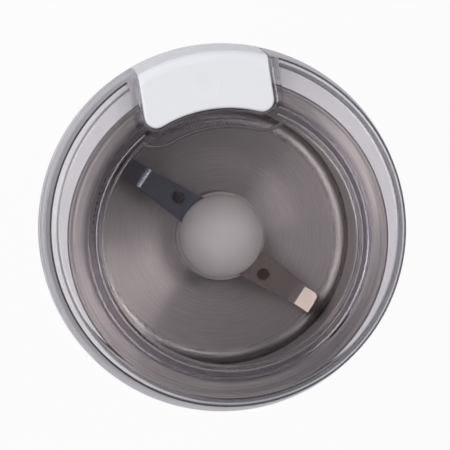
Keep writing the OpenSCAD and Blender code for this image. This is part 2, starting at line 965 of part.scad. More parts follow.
module shaft_seal() {
    seal_h = 4;
    color("black")
        bowl_axis()
            tube(bush_r - 0.8 - fit, seal_h, plateau_z - seal_h + 0.7, shaft_r + slide_gap);
}

module upper_bearing() {
    color("peru")
        bowl_axis()
            tube(bearing_r, bearing_h, bearing_z, shaft_r + run_gap);
}

module lower_bearing() {
    color("peru")
        bowl_axis()
            tube(low_bearing_r, low_bearing_h, low_bearing_z, shaft_r + run_gap);
}

module lower_bracket() {
    post_h = comm_mid - holder_w / 2 - bracket_z;
    post_y = comm_r + holder_gap + holder_l / 2;
    color("darkgray")
        bowl_axis()
            difference() {
                union() {
                    translate([-screw_dist - bracket_arm, -bracket_w / 2, bracket_z])
                        cube([2 * (screw_dist + bracket_arm), bracket_w, bracket_t]);
                    translate([-holder_w / 2, -post_y - holder_w / 2, bracket_z])
                        cube([holder_w, 2 * post_y + holder_w, bracket_t]);
                    tube(bearing_r + 2, low_bearing_h, low_bearing_z);
                    for (s = [-1, 1])
                        translate([s * screw_dist, 0, 0]) {
                            translate([s * bracket_leg - 1.5, -bracket_w / 2, bracket_z])
                                cube([3, bracket_w, stator_z - bracket_z]);
                            translate([-bracket_arm, -bracket_w / 2, stator_z - bracket_leg])
                                cube([2 * bracket_arm, bracket_w, bracket_leg]);
                        }
                    // Posts under the brush holders
                    for (s = [-1, 1])
                        translate([-holder_w / 2, s * post_y - 3, bracket_z])
                            cube([holder_w, 6, post_h]);
                }
                tube(low_bearing_r + fit, low_bearing_h + 2 * eps, low_bearing_z - eps);
                for (s = [-1, 1])
                    translate([s * screw_dist, 0, 0]) {
                        tube(motor_screw_r + fit, 2 * bracket_leg, stator_z - bracket_leg - eps);
                        tube(2 * motor_screw_r + 0.2, stator_z - bracket_leg - bracket_z + eps,
                             bracket_z - eps);
                    }
            }
}

// A curved slab about the axis, of the given half angle, between two radii
module curved_slab(half, r0, r1, h, z) {
    rotate([0, 0, -half])
        rotate_extrude(angle = 2 * half)
            translate([r0, z])
                square([r1 - r0, h]);
}

module stator_core() {
    color("slategray")
        bowl_axis()
            difference() {
                intersection() {
                    tube(stator_r, stack_h, stator_z);
                    translate([-stator_r, -stator_flat, stator_z])
                        cube([2 * stator_r, 2 * stator_flat, stack_h]);
                }
                tube(rotor_r + air_gap, stack_h + 2 * eps, stator_z - eps);
                for (pole = [90, 270])
                    for (s = [-1, 1])
                        rotate([0, 0, pole + s * (coil_span - coil_leg / 2)])
                            curved_slab(coil_leg / 2 + 2, rotor_r, coil_out + 0.5,
                                        stack_h + 2 * eps, stator_z - eps);
                for (s = [-1, 1])
                    translate([s * screw_dist, 0, 0])
                        tube(motor_screw_r + 0.1, stack_h + 2 * eps, stator_z - eps);
            }
}

module field_coils() {
    color("chocolate")
        bowl_axis()
            for (pole = [90, 270])
                rotate([0, 0, pole])
                    difference() {
                        curved_slab(coil_span, coil_in, coil_out, stack_h + 2 * coil_over,
                                    stator_z - coil_over);
                        curved_slab(coil_span - coil_leg, coil_in - 1, coil_out + 1,
                                    stack_h + 2 * coil_play, stator_z - coil_play);
                    }
}

module rotor_core() {
    color("gray")
        bowl_axis()
            difference() {
                tube(rotor_r, stack_h, stator_z, shaft_r + fit);
                for (i = [0:rotor_slots - 1])
                    rotate([0, 0, i * 360 / rotor_slots])
                        translate([rotor_r, 0, stator_z - eps])
                            cylinder(r = slot_r, h = stack_h + 2 * eps);
            }
}

module rotor_windings() {
    flat_r = winding_r - winding_round;
    color("chocolate")
        bowl_axis()
            for (z = [stator_z - winding_h, stator_top])
                translate([0, 0, z])
                    rotate_extrude()
                        polygon([[shaft_r + fit, 0], [flat_r, 0], [winding_r, winding_round],
                                 [winding_r, winding_h - winding_round], [flat_r, winding_h],
                                 [shaft_r + fit, winding_h]]);
}

module commutator() {
    color("peru")
        bowl_axis()
            difference() {
                union() {
                    tube(comm_r, comm_h, comm_z, shaft_r + fit);
                    tube(comm_r - 3, comm_h + comm_neck, comm_z, shaft_r + fit);
                }
                for (i = [0:comm_bars - 1])
                    rotate([0, 0, i * 360 / comm_bars])
                        translate([comm_r - bar_gap, -bar_gap / 2, comm_z - eps])
                            cube([4 * bar_gap, bar_gap, comm_h + 2 * eps]);
            }
}

// Moves its children to the commutator's side, and turned about to its other side
module both_brushes() {
    bowl_axis()
        for (turn = [0, 180])
            rotate([0, 0, turn])
                translate([0, comm_r, comm_mid])
                    children();
}

module carbon_brushes() {
    color("black")
        both_brushes()
            translate([-brush_w / 2, stop_gap, -brush_w / 2])
                cube([brush_w, brush_l, brush_w]);
}

module brush_holders() {
    hole_w = brush_w + 0.2;
    color("goldenrod")
        both_brushes()
            difference() {
                translate([-holder_w / 2, holder_gap, -holder_w / 2])
                    cube([holder_w, holder_l, holder_w]);
                translate([-hole_w / 2, 0, -hole_w / 2])
                    cube([hole_w, holder_l, hole_w]);
            }
}

module brush_springs() {
    color("silver")
        both_brushes()
            rotate([-90, 0, 0])
                coil(brush_coil_r, brush_wire, brush_coil_l, stop_gap + brush_l + coil_end, 4);
}

module cooling_fan() {
    rake = 18;
    blade_l = fan_r - 7;
    color("gainsboro")
        bowl_axis()
            difference() {
                union() {
                    tube(fan_r, fan_disc_t, fan_z);
                    tube(fan_hub_r, fan_h, fan_z);
                    for (i = [0:fan_blades - 1])
                        rotate([0, 0, i * 360 / fan_blades])
                            translate([fan_hub_r - eps, 0, fan_z])
                                rotate([0, 0, rake])
                                    translate([0, -fan_blade_t / 2, 0])
                                        cube([blade_l, fan_blade_t, fan_h]);
                }
                tube(shaft_r + fit, fan_h + 2 * eps, fan_z - eps);
            }
}

module motor_screws() {
    color("silver")
        bowl_axis()
            for (s = [-1, 1])
                translate([s * screw_dist, 0, 0])
                    screw(motor_screw_r, carrier_top - stator_z + bracket_leg, stator_z - bracket_leg);
}

module motor_spacers() {
    color("silver")
        bowl_axis()
            for (s = [-1, 1])
                translate([s * screw_dist, 0, 0])
                    tube(spacer_r, carrier_z - stator_top, stator_top, motor_screw_r + 0.1);
}

module suppressor_capacitor() {
    color("gold")
        translate([base_r - 16 - cap_l, cap_w - 2, board_z])
            cube([cap_l, cap_w, cap_h]);
}

module terminal_block() {
    color("ivory")
        translate([block_x, block_y, board_z])
            difference() {
                cube([block_l, block_w, block_w]);
                for (i = [-1:1])
                    translate([block_l / 2 + i * block_pitch, -eps, 0.6 * block_w])
                        rotate([-90, 0, 0])
                            cylinder(r = block_screw_r, h = block_w + 2 * eps);
            }
}

outer_housing();
base_cover();
base_screws();
rubber_feet();
cord_bushing();
bowl();
bowl_seal();
bowl_bush();
bowl_carrier();
carrier_screws();
lid();
start_button();
push_rod();
button_spring();
start_switch();
switch_plunger();
interlock_pin();
interlock_spring();
interlock_switch();
blade();
blade_cap();
blade_hub();
drive_shaft();
shaft_seal();
upper_bearing();
lower_bearing();
lower_bracket();
stator_core();
field_coils();
rotor_core();
rotor_windings();
commutator();
carbon_brushes();
brush_holders();
brush_springs();
cooling_fan();
motor_screws();
motor_spacers();
suppressor_capacitor();
terminal_block();
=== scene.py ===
from math import acos, atan2, cos, degrees, pi, radians, sin, sqrt, tan

import bmesh
import bpy
from mathutils import Matrix, Vector


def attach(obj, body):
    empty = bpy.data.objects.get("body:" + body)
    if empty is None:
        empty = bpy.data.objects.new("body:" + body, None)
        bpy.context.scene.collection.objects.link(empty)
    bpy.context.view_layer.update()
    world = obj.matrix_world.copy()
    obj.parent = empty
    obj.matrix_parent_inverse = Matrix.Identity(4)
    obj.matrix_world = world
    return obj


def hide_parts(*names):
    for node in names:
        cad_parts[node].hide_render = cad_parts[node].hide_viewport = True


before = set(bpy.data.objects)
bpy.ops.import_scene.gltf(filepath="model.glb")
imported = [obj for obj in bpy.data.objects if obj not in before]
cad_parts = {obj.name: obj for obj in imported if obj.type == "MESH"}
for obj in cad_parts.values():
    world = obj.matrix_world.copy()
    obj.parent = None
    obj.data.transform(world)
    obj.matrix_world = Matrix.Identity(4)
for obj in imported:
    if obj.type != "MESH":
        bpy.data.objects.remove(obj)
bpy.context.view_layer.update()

mm = 0.001       # every size below is in millimetres until it becomes a mesh
bowlY = -2.4     # the bowl, the blade and the motor stand on this second axis
roundSteps = 192
fineSteps = 256  # for the large round pieces that show most


# mesh helpers

def addPiece(name, points, faces):
    mesh = bpy.data.meshes.new(name)
    mesh.from_pydata([(x * mm, y * mm, z * mm) for x, y, z in points], [], faces)
    piece = bpy.data.objects.new(name, mesh)
    bpy.context.scene.collection.objects.link(piece)
    faceOutward(piece)
    return piece


def faceOutward(piece):
    work = bmesh.new()
    work.from_mesh(piece.data)
    bmesh.ops.recalc_face_normals(work, faces=work.faces)
    work.to_mesh(piece.data)
    work.free()


def arcPoints(x, y, radius, start, end, steps):
    turns = [radians(start + (end - start) * i / steps) for i in range(steps + 1)]
    return [(x + radius * cos(a), y + radius * sin(a)) for a in turns]


def softened(corners, steps=5):
    # a closed outline whose corners may carry a third number, their rounding
    outline = []
    for k, corner in enumerate(corners):
        here = Vector(corner[:2])
        radius = corner[2] if len(corner) > 2 else 0
        if not radius:
            outline.append(tuple(here))
            continue
        before = (Vector(corners[k - 1][:2]) - here).normalized()
        after = (Vector(corners[(k + 1) % len(corners)][:2]) - here).normalized()
        half = before.angle(after) / 2
        first = here + before * (radius / tan(half))
        last = here + after * (radius / tan(half))
        middle = here + (before + after).normalized() * (radius / sin(half))
        a0 = atan2(first.y - middle.y, first.x - middle.x)
        a1 = atan2(last.y - middle.y, last.x - middle.x)
        turn = (a1 - a0 + pi) % (2 * pi) - pi
        for i in range(steps + 1):
            a = a0 + turn * i / steps
            outline.append((middle.x + radius * cos(a), middle.y + radius * sin(a)))
    return outline


def revolve(name, profile, x=0.0, y=0.0, steps=roundSteps):
    # turns a closed outline of (radius, height) about an upright axis
    points, rings, faces = [], [], []
    for radius, height in profile:
        if not radius:
            rings.append([len(points)] * steps)
            points.append((x, y, height))
            continue
        first = len(points)
        for i in range(steps):
            a = 2 * pi * i / steps
            points.append((x + radius * cos(a), y + radius * sin(a), height))
        rings.append(list(range(first, first + steps)))
    for k in range(len(rings)):
        low, high = rings[k], rings[(k + 1) % len(rings)]
        if low[0] == low[1] and high[0] == high[1]:
            continue
        for i in range(steps):
            j = (i + 1) % steps
            face = []
            for corner in (low[i], low[j], high[j], high[i]):
                if corner not in face:
                    face.append(corner)
            faces.append(face)
    return addPiece(name, points, faces)


def loft(name, layers):
    # skins closed loops that have the same number of points, and caps both ends
    count = len(layers[0])
    points = [point for layer in layers for point in layer]
    top = (len(layers) - 1) * count
    faces = [list(range(count))[::-1], [top + i for i in range(count)]]
    for k in range(len(layers) - 1):
        for i in range(count):
            j = (i + 1) % count
            faces.append([k * count + i, k * count + j, (k + 1) * count + j, (k + 1) * count + i])
    return addPiece(name, points, faces)


def prism(name, outline, low, high):
    return loft(name, [[(x, y, z) for x, y in outline] for z in (low, high)])


def block(name, low, high, turn=0.0):
    corners = [(low[0], low[1]), (high[0], low[1]), (high[0], high[1]), (low[0], high[1])]
    c, s = cos(radians(turn)), sin(radians(turn))
    return prism(name, [(x * c - y * s, x * s + y * c) for x, y in corners], low[2], high[2])


def rod(name, x, y, radius, low, high, steps=48):
    return prism(name, arcPoints(x, y, radius, 0, 360 - 360 / steps, steps - 1), low, high)


def settle(piece):
    # makes the modifiers part of the mesh
    bpy.context.view_layer.update()
    mesh = bpy.data.meshes.new_from_object(piece.evaluated_get(bpy.context.evaluated_depsgraph_get()))
    piece.modifiers.clear()
    old = piece.data
    piece.data = mesh
    bpy.data.meshes.remove(old)


def combine(piece, operation, *tools):
    for tool in tools:
        modifier = piece.modifiers.new(operation, "BOOLEAN")
        modifier.operation = operation
        modifier.object = tool
        modifier.solver = "MANIFOLD"
        settle(piece)
        bpy.data.objects.remove(tool)
    return piece


def soften(piece, width, angle=40, segments=2):
    modifier = piece.modifiers.new("edges", "BEVEL")
    modifier.width = width * mm
    modifier.segments = segments
    modifier.limit_method = "ANGLE"
    modifier.angle_limit = radians(angle)
    settle(piece)


def place(piece, material, body, replaced=(), angle=35):
    piece.data.materials.clear()
    piece.data.materials.append(material)
    piece.data.shade_smooth()
    piece.data.set_sharp_from_angle(angle=radians(angle))
    weighted = piece.modifiers.new("shading", "WEIGHTED_NORMAL")
    weighted.keep_sharp = True
    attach(piece, body)
    if replaced:
        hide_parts(*replaced)
    return piece


# shader helpers

class Wire:
    # a socket that shader maths can be written with
    def __init__(self, tree, socket=None):
        self.tree = tree
        self.socket = socket

    def add(self, kind, settings=None, sockets=None, out=0):
        node = self.tree.nodes.new(kind)
        for key, value in (settings or {}).items():
            if key == "stops":
                ramp = node.color_ramp
                while len(ramp.elements) > 1:
                    ramp.elements.remove(ramp.elements[-1])
                for k, (spot, colour) in enumerate(value):
                    stop = ramp.elements[0] if k == 0 else ramp.elements.new(spot)
                    stop.position = spot
                    stop.color = tuple(colour) + (1.0,)
            else:
                setattr(node, key, value)
        for key, value in (sockets or {}).items():
            if isinstance(value, Wire):
                self.tree.links.new(value.socket, node.inputs[key])
            elif value is not None:
                node.inputs[key].default_value = value
        return Wire(self.tree, node.outputs[out] if len(node.outputs) else None)

    def maths(self, operation, first, second=None):
        return self.add("ShaderNodeMath", {"operation": operation}, {0: first, 1: second})

    def __add__(self, other):
        return self.maths("ADD", self, other)

    def __radd__(self, other):
        return self.maths("ADD", other, self)

    def __sub__(self, other):
        return self.maths("SUBTRACT", self, other)

    def __rsub__(self, other):
        return self.maths("SUBTRACT", other, self)

    def __mul__(self, other):
        return self.maths("MULTIPLY", self, other)

    def __rmul__(self, other):
        return self.maths("MULTIPLY", other, self)

    def __truediv__(self, other):
        return self.maths("DIVIDE", self, other)

    def __rtruediv__(self, other):
        return self.maths("DIVIDE", other, self)

    def __pow__(self, other):
        return self.maths("POWER", self, other)

    def vector(self, operation, other=None, scale=None):
        return self.add("ShaderNodeVectorMath", {"operation": operation},
                        {0: self, 1: other, "Scale": scale})

    def split(self):
        return [self.add("ShaderNodeSeparateXYZ", {}, {0: self}, k) for k in range(3)]

    def blend(self, low, high):
        # a colour between two, by this value
        return self.add("ShaderNodeMix", {"data_type": "RGBA"}, {0: self, 6: low, 7: high}, 2)

    def span(self, low, high):
        # this value, 0 to 1, stretched between two numbers
        return self * (high - low) + low

    def between(self, low, high, smooth=False):
        # 0 at the first number, 1 at the second
        way = "SMOOTHSTEP" if smooth else "LINEAR"
        return self.add("ShaderNodeMapRange", {"interpolation_type": way}, {0: self, 1: low, 2: high})

    def noise(self, scale, detail=3.0, rough=0.5):
        return self.add("ShaderNodeTexNoise", {},
                        {"Vector": self, "Scale": scale, "Detail": detail, "Roughness": rough})


def newMaterial(name):
    material = bpy.data.materials.new(name)
    material.use_nodes = True
    material.node_tree.nodes.clear()
    return material, Wire(material.node_tree)


def inMillimetres(wire, shift=(0, 0, 0), stretch=(1, 1, 1)):
    spot = wire.add("ShaderNodeTexCoord", {}, {}, 3)
    scale = [1000 * s for s in stretch]
    return spot.vector("MULTIPLY", scale).vector("ADD", [float(s) for s in shift])


def finishMaterial(material, wire, sockets, bump=None, height=0.01, strength=1.0):
    if bump is not None:
        sockets["Normal"] = wire.add("ShaderNodeBump", {}, {
            "Strength": strength, "Distance": height * mm, "Height": bump})
    shader = wire.add("ShaderNodeBsdfPrincipled", {}, sockets)
    wire.add("ShaderNodeOutputMaterial", {}, {"Surface": shader})
    return material


def colour(*values):
    return tuple(values) + (1.0,)


def plainFinish(name, look):
    # one finish for moulded, cast, ground or coated pieces, set by its dictionary
    material, wire = newMaterial(name)
    spot = inMillimetres(wire, look.get("shift", (0, 0, 0)), look.get("stretch", (1, 1, 1)))
    grain = spot.noise(1 / look.get("grain", 0.4), 4.0)
    cloud = spot.noise(1 / look.get("cloud", 9.0), 2.0)
    shade = look["colour"]
    spread = look.get("spread", 0.06)
    low = [c * (1 - spread) for c in shade]
    high = [min(1.0, c * (1 + spread)) for c in shade]
    mix = grain * 0.5 + cloud * 0.5
    rough = look.get("roughness", 0.4)
    swing = look.get("roughSwing", 0.08)
    sockets = {
        "Base Color": mix.blend(colour(*low), colour(*high)),
        "Roughness": mix.span(rough - swing, rough + swing),
        "Metallic": look.get("metallic", 0.0),
        "IOR": look.get("ior", 1.49),
        "Coat Weight": look.get("coat", 0.0),
    }
    return finishMaterial(material, wire, sockets, grain, look.get("height", 0.012))


# finishes

finishLooks = {
    "housingWhite": {"colour": (0.86, 0.865, 0.87), "roughness": 0.27, "grain": 0.5, "height": 0.003,
                     "spread": 0.012, "cloud": 30},
    "buttonWhite": {"colour": (0.89, 0.915, 0.95), "roughness": 0.24, "grain": 0.45, "height": 0.002,
                    "spread": 0.01, "cloud": 25},
    "coverPlastic": {"colour": (0.62, 0.62, 0.63), "roughness": 0.5, "grain": 0.35, "height": 0.02,
                     "spread": 0.05},
    "innerPlastic": {"colour": (0.2, 0.205, 0.21), "roughness": 0.5, "grain": 0.4, "height": 0.015,
                     "spread": 0.08},
    "rubberBlack": {"colour": (0.045, 0.045, 0.047), "roughness": 0.78, "grain": 0.18, "height": 0.03,
                    "spread": 0.25},
    "rubberGrey": {"colour": (0.33, 0.33, 0.34), "roughness": 0.7, "grain": 0.2, "height": 0.02,
                   "spread": 0.12},
    "hubGrey": {"colour": (0.62, 0.575, 0.53), "roughness": 0.4, "grain": 0.3, "height": 0.01,
                "spread": 0.08},
    "screwSteel": {"colour": (0.62, 0.6, 0.57), "roughness": 0.33, "metallic": 1.0, "grain": 0.25,
                   "height": 0.008, "spread": 0.1},
    "springSteel": {"colour": (0.5, 0.5, 0.52), "roughness": 0.26, "metallic": 1.0, "grain": 0.2,
                    "height": 0.004, "spread": 0.12, "stretch": (1, 1, 3)},
    "shaftSteel": {"colour": (0.6, 0.6, 0.61), "roughness": 0.2, "metallic": 1.0, "grain": 0.6,
                   "height": 0.003, "spread": 0.06, "stretch": (0.2, 0.2, 6)},
    "bearingBronze": {"colour": (0.5, 0.33, 0.17), "roughness": 0.45, "metallic": 1.0, "grain": 0.15,
                      "height": 0.02, "spread": 0.18},
    "motorPlate": {"colour": (0.56, 0.56, 0.54), "roughness": 0.38, "metallic": 1.0, "grain": 1.4,
                   "height": 0.006, "spread": 0.14, "cloud": 4},
    "carbonBlock": {"colour": (0.05, 0.05, 0.055), "roughness": 0.55, "metallic": 0.3, "grain": 0.2,
                    "height": 0.02, "spread": 0.3},
    "brassSheet": {"colour": (0.72, 0.53, 0.24), "roughness": 0.3, "metallic": 1.0, "grain": 0.5,
                   "height": 0.006, "spread": 0.1, "stretch": (1, 4, 1)},
    "switchBlack": {"colour": (0.05, 0.05, 0.052), "roughness": 0.4, "grain": 0.25, "height": 0.012,
                    "spread": 0.2},
    "plungerRed": {"colour": (0.55, 0.05, 0.04), "roughness": 0.36, "grain": 0.3, "height": 0.006,
                   "spread": 0.08},
    "fanPlastic": {"colour": (0.75, 0.75, 0.72), "roughness": 0.45, "grain": 0.35, "height": 0.012,
                   "spread": 0.04},
    "capacitorYellow": {"colour": (0.8, 0.58, 0.07), "roughness": 0.3, "grain": 0.6, "height": 0.01,
                        "spread": 0.05},
    "terminalWhite": {"colour": (0.82, 0.8, 0.72), "roughness": 0.42, "grain": 0.3, "height": 0.01,
                      "spread": 0.03},
}
finishes = {name: plainFinish(name, look) for name, look in finishLooks.items()}


smokyLook = {"tint": (0.915, 0.912, 0.925), "dusty": 0.985, "shade": (0.9, 0.89, 0.9), "ior": 1.49,
             "roughness": (0.015, 0.035), "depthColour": (0.8, 0.78, 0.86), "density": 66.0,
             "ripple": 0.003, "rippleSize": 14.0, "dustScale": 3.0}


def makeSmokyClear(look):
    material, wire = newMaterial("smokyClear")
    spot = inMillimetres(wire)
    ripple = spot.noise(1 / look["rippleSize"], 1.0)
    dust = spot.noise(look["dustScale"], 3.0)
    bump = wire.add("ShaderNodeBump", {}, {
        "Strength": 1.0, "Distance": look["ripple"] * mm, "Height": ripple})
    dusty = [c * look["dusty"] for c in look["tint"]]
    clear = wire.add("ShaderNodeBsdfPrincipled", {}, {
        "Base Color": dust.blend(colour(*dusty), colour(*look["tint"])),
        "Roughness": dust.span(*look["roughness"]),
        "IOR": look["ior"],
        "Transmission Weight": 1.0,
        "Normal": bump,
    })
    through = wire.add("ShaderNodeBsdfTransparent", {}, {"Color": colour(*look["shade"])})
    shadow = wire.add("ShaderNodeLightPath", {}, {}, "Is Shadow Ray")
    both = wire.add("ShaderNodeMixShader", {}, {0: shadow, 1: clear, 2: through})
    depth = wire.add("ShaderNodeVolumeAbsorption", {}, {"Color": colour(*look["depthColour"]),
                                                        "Density": look["density"]})
    wire.add("ShaderNodeOutputMaterial", {}, {"Surface": both, "Volume": depth})
    return material


spunLook = {"colour": (0.6, 0.56, 0.55), "dark": (0.32, 0.295, 0.295), "roughness": (0.3, 0.46),
            "anisotropy": 0.96, "grooves": 1.5, "broad": 0.55, "scratches": (3.0, 3.5),
            "crisp": (0.38, 0.62), "scratched": (0.35, 0.65), "height": 0.05, "polished": 0.14,
            "footRadius": (29.8, 30.8), "footHeight": (127.0, 124.5)}


def makeSpunSteel(look):
    # rings left by the spinning tool, and fine scratches along them
    material, wire = newMaterial("spunSteel")
    spot = inMillimetres(wire, (0, -bowlY, 0))
    x, y, z = spot.split()
    radius = (x * x + y * y) ** 0.5
    run = radius + z
    rings = wire.add("ShaderNodeTexNoise", {"noise_dimensions": "1D"},
                     {"W": run * look["grooves"], "Detail": 5.0, "Roughness": 0.65})
    broad = wire.add("ShaderNodeTexNoise", {"noise_dimensions": "1D"},
                     {"W": run * look["broad"], "Detail": 2.0})
    turn = wire.add("ShaderNodeMath", {"operation": "ARCTAN2"}, {0: y, 1: x})
    around, across = look["scratches"]
    streakSpot = wire.add("ShaderNodeCombineXYZ", {}, {0: turn * around, 1: run * across, 2: 0.0})
    streak = streakSpot.noise(1.0, 4.0, 0.6)
    crisp = rings.between(*look["crisp"])
    scratched = streak.between(*look["scratched"])
    mix = crisp * 0.45 + broad * 0.25 + scratched * 0.3
    rough = mix.span(*look["roughness"])
    # the press leaves the rounded foot of the wall smoother
    fillet = radius.between(*look["footRadius"], True) * z.between(*look["footHeight"], True)
    sockets = {
        "Base Color": mix.blend(colour(*look["dark"]), colour(*look["colour"])),
        "Roughness": rough + fillet * (look["polished"] - rough),
        "Metallic": 1.0,
        "Anisotropic": look["anisotropy"],
        "Anisotropic Rotation": 0.25,
    }
    return finishMaterial(material, wire, sockets, rings * 0.8 + streak * 0.2, look["height"])


groundLook = {"paintedNavyReflection": (0.48, 0.48, 0.55), "paintedBrownReflection": (0.8, 0.68, 0.605), "dark": 0.8,
              "roughness": (0.08, 0.2), "angle": 137.5, "lines": (5.0, 0.35, 5.0), "clouds": 0.22,
              "change": 10.0, "height": 0.004}


def makeGroundSteel(look):
    # fine grinding lines across the arms, and a painted reflection: one arm's base colour is navy, the
    # other's brown
    material, wire = newMaterial("groundSteel")
    spot = inMillimetres(wire, (0, -bowlY, 0))
    turned = wire.add("ShaderNodeVectorRotate", {"rotation_type": "Z_AXIS"},
                      {"Vector": spot, "Angle": -radians(look["angle"])})
    lines = turned.vector("MULTIPLY", look["lines"]).noise(1.0, 4.0, 0.6)
    cloud = spot.noise(look["clouds"], 2.0)
    x, y, z = turned.split()
    # painted reflection: the base colour turns from navy on one arm to brown on the other, standing in for
    # what each flat arm mirrors
    side = x.between(look["change"], -look["change"])
    paintedArmReflection = side.blend(colour(*look["paintedNavyReflection"]), colour(*look["paintedBrownReflection"]))
    worn = (lines * 0.5 + cloud * 0.5).span(look["dark"], 1.0)
    sockets = {
        "Base Color": paintedArmReflection.vector("SCALE", None, worn),
        "Roughness": lines.span(*look["roughness"]),
        "Metallic": 1.0,
    }
    return finishMaterial(material, wire, sockets, lines, look["height"])


satinLook = {"colour": (0.78, 0.76, 0.745), "dark": (0.73, 0.71, 0.695), "roughness": (0.57, 0.68),
             "metallic": 0.1, "blast": 6.0, "clouds": 0.3, "height": 0.006}


def makeSatinCap(look):
    material, wire = newMaterial("satinCap")
    spot = inMillimetres(wire, (0, -bowlY, 0))
    blast = spot.noise(look["blast"], 3.0)
    cloud = spot.noise(look["clouds"], 2.0)
    sockets = {
        "Base Color": cloud.blend(colour(*look["dark"]), colour(*look["colour"])),
        "Roughness": blast.span(*look["roughness"]),
        "Metallic": look["metallic"],
    }
    return finishMaterial(material, wire, sockets, blast, look["height"])


laminationLook = {"edge": (0.42, 0.42, 0.43), "gap": (0.12, 0.12, 0.13), "roughness": (0.35, 0.55),
                  "metallic": 0.85, "half": 0.25, "clouds": 0.35, "height": 0.05}


def makeLaminations(look):
    # half-millimetre plates, varnished
    material, wire = newMaterial("laminations")
    spot = inMillimetres(wire)
    x, y, z = spot.split()
    plate = wire.maths("PINGPONG", z, look["half"]) / look["half"]
    cloud = spot.noise(look["clouds"], 3.0)
    edge = plate * 0.7 + cloud * 0.3
    sockets = {
        "Base Color": edge.blend(colour(*look["gap"]), colour(*look["edge"])),
        "Roughness": cloud.span(*look["roughness"]),
        "Metallic": look["metallic"],
    }
    return finishMaterial(material, wire, sockets, plate, look["height"])


coilLook = {"crest": (0.62, 0.25, 0.1), "varnish": (0.2, 0.06, 0.025), "roughness": (0.22, 0.42),
            "metallic": 0.75, "half": 0.22, "lean": 0.8, "clouds": 0.5, "height": 0.12}


def makeCopperWire(look):
    # turns of enamelled wire with varnish between them
    material, wire = newMaterial("copperWire")
    spot = inMillimetres(wire, (0, -bowlY, 0))
    x, y, z = spot.split()
    radius = (x * x + y * y) ** 0.5
    strand = wire.maths("PINGPONG", radius + z * look["lean"], look["half"]) / look["half"]
    cloud = spot.noise(look["clouds"], 3.0)
    mix = strand * 0.6 + cloud * 0.4
    sockets = {
        "Base Color": mix.blend(colour(*look["varnish"]), colour(*look["crest"])),
        "Roughness": cloud.span(*look["roughness"]),
        "Metallic": look["metallic"],
    }
    return finishMaterial(material, wire, sockets, strand, look["height"])


barLook = {"copper": (0.72, 0.36, 0.2), "track": (0.3, 0.16, 0.1), "line": (0.6, 0.3, 0.17),
           "roughness": (0.18, 0.36), "lines": 9.0, "trackZ": 41.0, "trackHalf": (3.2, 2.2), "height": 0.01}


def makeCommutatorCopper(look):
    # bars polished by the brushes, with a dark track in their middle
    material, wire = newMaterial("commutatorCopper")
    spot = inMillimetres(wire, (0, -bowlY, 0))
    x, y, z = spot.split()
    lines = wire.add("ShaderNodeTexNoise", {"noise_dimensions": "1D"},
                     {"W": z * look["lines"], "Detail": 3.0})
    track = wire.maths("ABSOLUTE", z - look["trackZ"]).between(*look["trackHalf"], True)
    shade = track.blend(colour(*look["copper"]), colour(*look["track"]))
    sockets = {
        "Base Color": lines.blend(shade, colour(*look["line"])),
        "Roughness": lines.span(*look["roughness"]),
        "Metallic": 1.0,
    }
    return finishMaterial(material, wire, sockets, lines, look["height"])


finishes["smokyClear"] = makeSmokyClear(smokyLook)
finishes["spunSteel"] = makeSpunSteel(spunLook)
finishes["groundSteel"] = makeGroundSteel(groundLook)
finishes["satinCap"] = makeSatinCap(satinLook)
finishes["laminations"] = makeLaminations(laminationLook)
finishes["copperWire"] = makeCopperWire(coilLook)
finishes["commutatorCopper"] = makeCommutatorCopper(barLook)

nodeFinishes = {
    "base_cover": "coverPlastic", "base_screws": "screwSteel", "cord_bushing": "rubberBlack",
    "bowl_seal": "rubberGrey", "bowl_bush": "hubGrey", "bowl_carrier": "innerPlastic",
    "carrier_screws": "screwSteel", "push_rod": "fanPlastic", "button_spring": "springSteel",
    "start_switch": "switchBlack", "switch_plunger": "plungerRed", "interlock_pin": "fanPlastic",
    "interlock_spring": "springSteel", "interlock_switch": "switchBlack", "drive_shaft": "shaftSteel",
    "shaft_seal": "rubberBlack", "upper_bearing": "bearingBronze", "lower_bearing": "bearingBronze",
    "lower_bracket": "motorPlate", "stator_core": "laminations", "field_coils": "copperWire",
    "rotor_core": "laminations", "rotor_windings": "copperWire", "commutator": "commutatorCopper",
    "carbon_brushes": "carbonBlock", "brush_holders": "brassSheet", "brush_springs": "springSteel",
    "cooling_fan": "fanPlastic", "motor_screws": "screwSteel", "motor_spacers": "motorPlate",
    "suppressor_capacitor": "capacitorYellow", "terminal_block": "terminalWhite",
}
for node, finish in nodeFinishes.items():
    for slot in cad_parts[node].material_slots:
        slot.material = finishes[finish]
print("finishes made:", len(finishes))


# plan outlines that the lid and the button share

plan = {"width": 32.8, "corner": 3.0, "hollow": 32.6, "far": 60.0}
plan["reach"] = plan["hollow"] + plan["corner"]
plan["cornerX"] = plan["width"] / 2 - plan["corner"]
plan["meet"] = degrees(acos(plan["cornerX"] / plan["reach"]))
plan["cornerY"] = bowlY + plan["reach"] * sin(radians(plan["meet"]))


def innerSide(grow, first=0.0, last=-180.0):
    # the button's side towards the bowl, from right to left, moved outward by grow
    meet = plan["meet"]
    r = plan["corner"] + grow
    right = arcPoints(plan["cornerX"], plan["cornerY"], r, first, meet - 180, 10)
    middle = arcPoints(0, bowlY, plan["hollow"] - grow, meet, 180 - meet, 28)
    left = arcPoints(-plan["cornerX"], plan["cornerY"], r, -meet, last, 10)
    return right + middle[1:-1] + left


def buttonPlan(grow):
    side = plan["width"] / 2 + grow
    return [(side, plan["far"])] + innerSide(grow) + [(-side, plan["far"])]


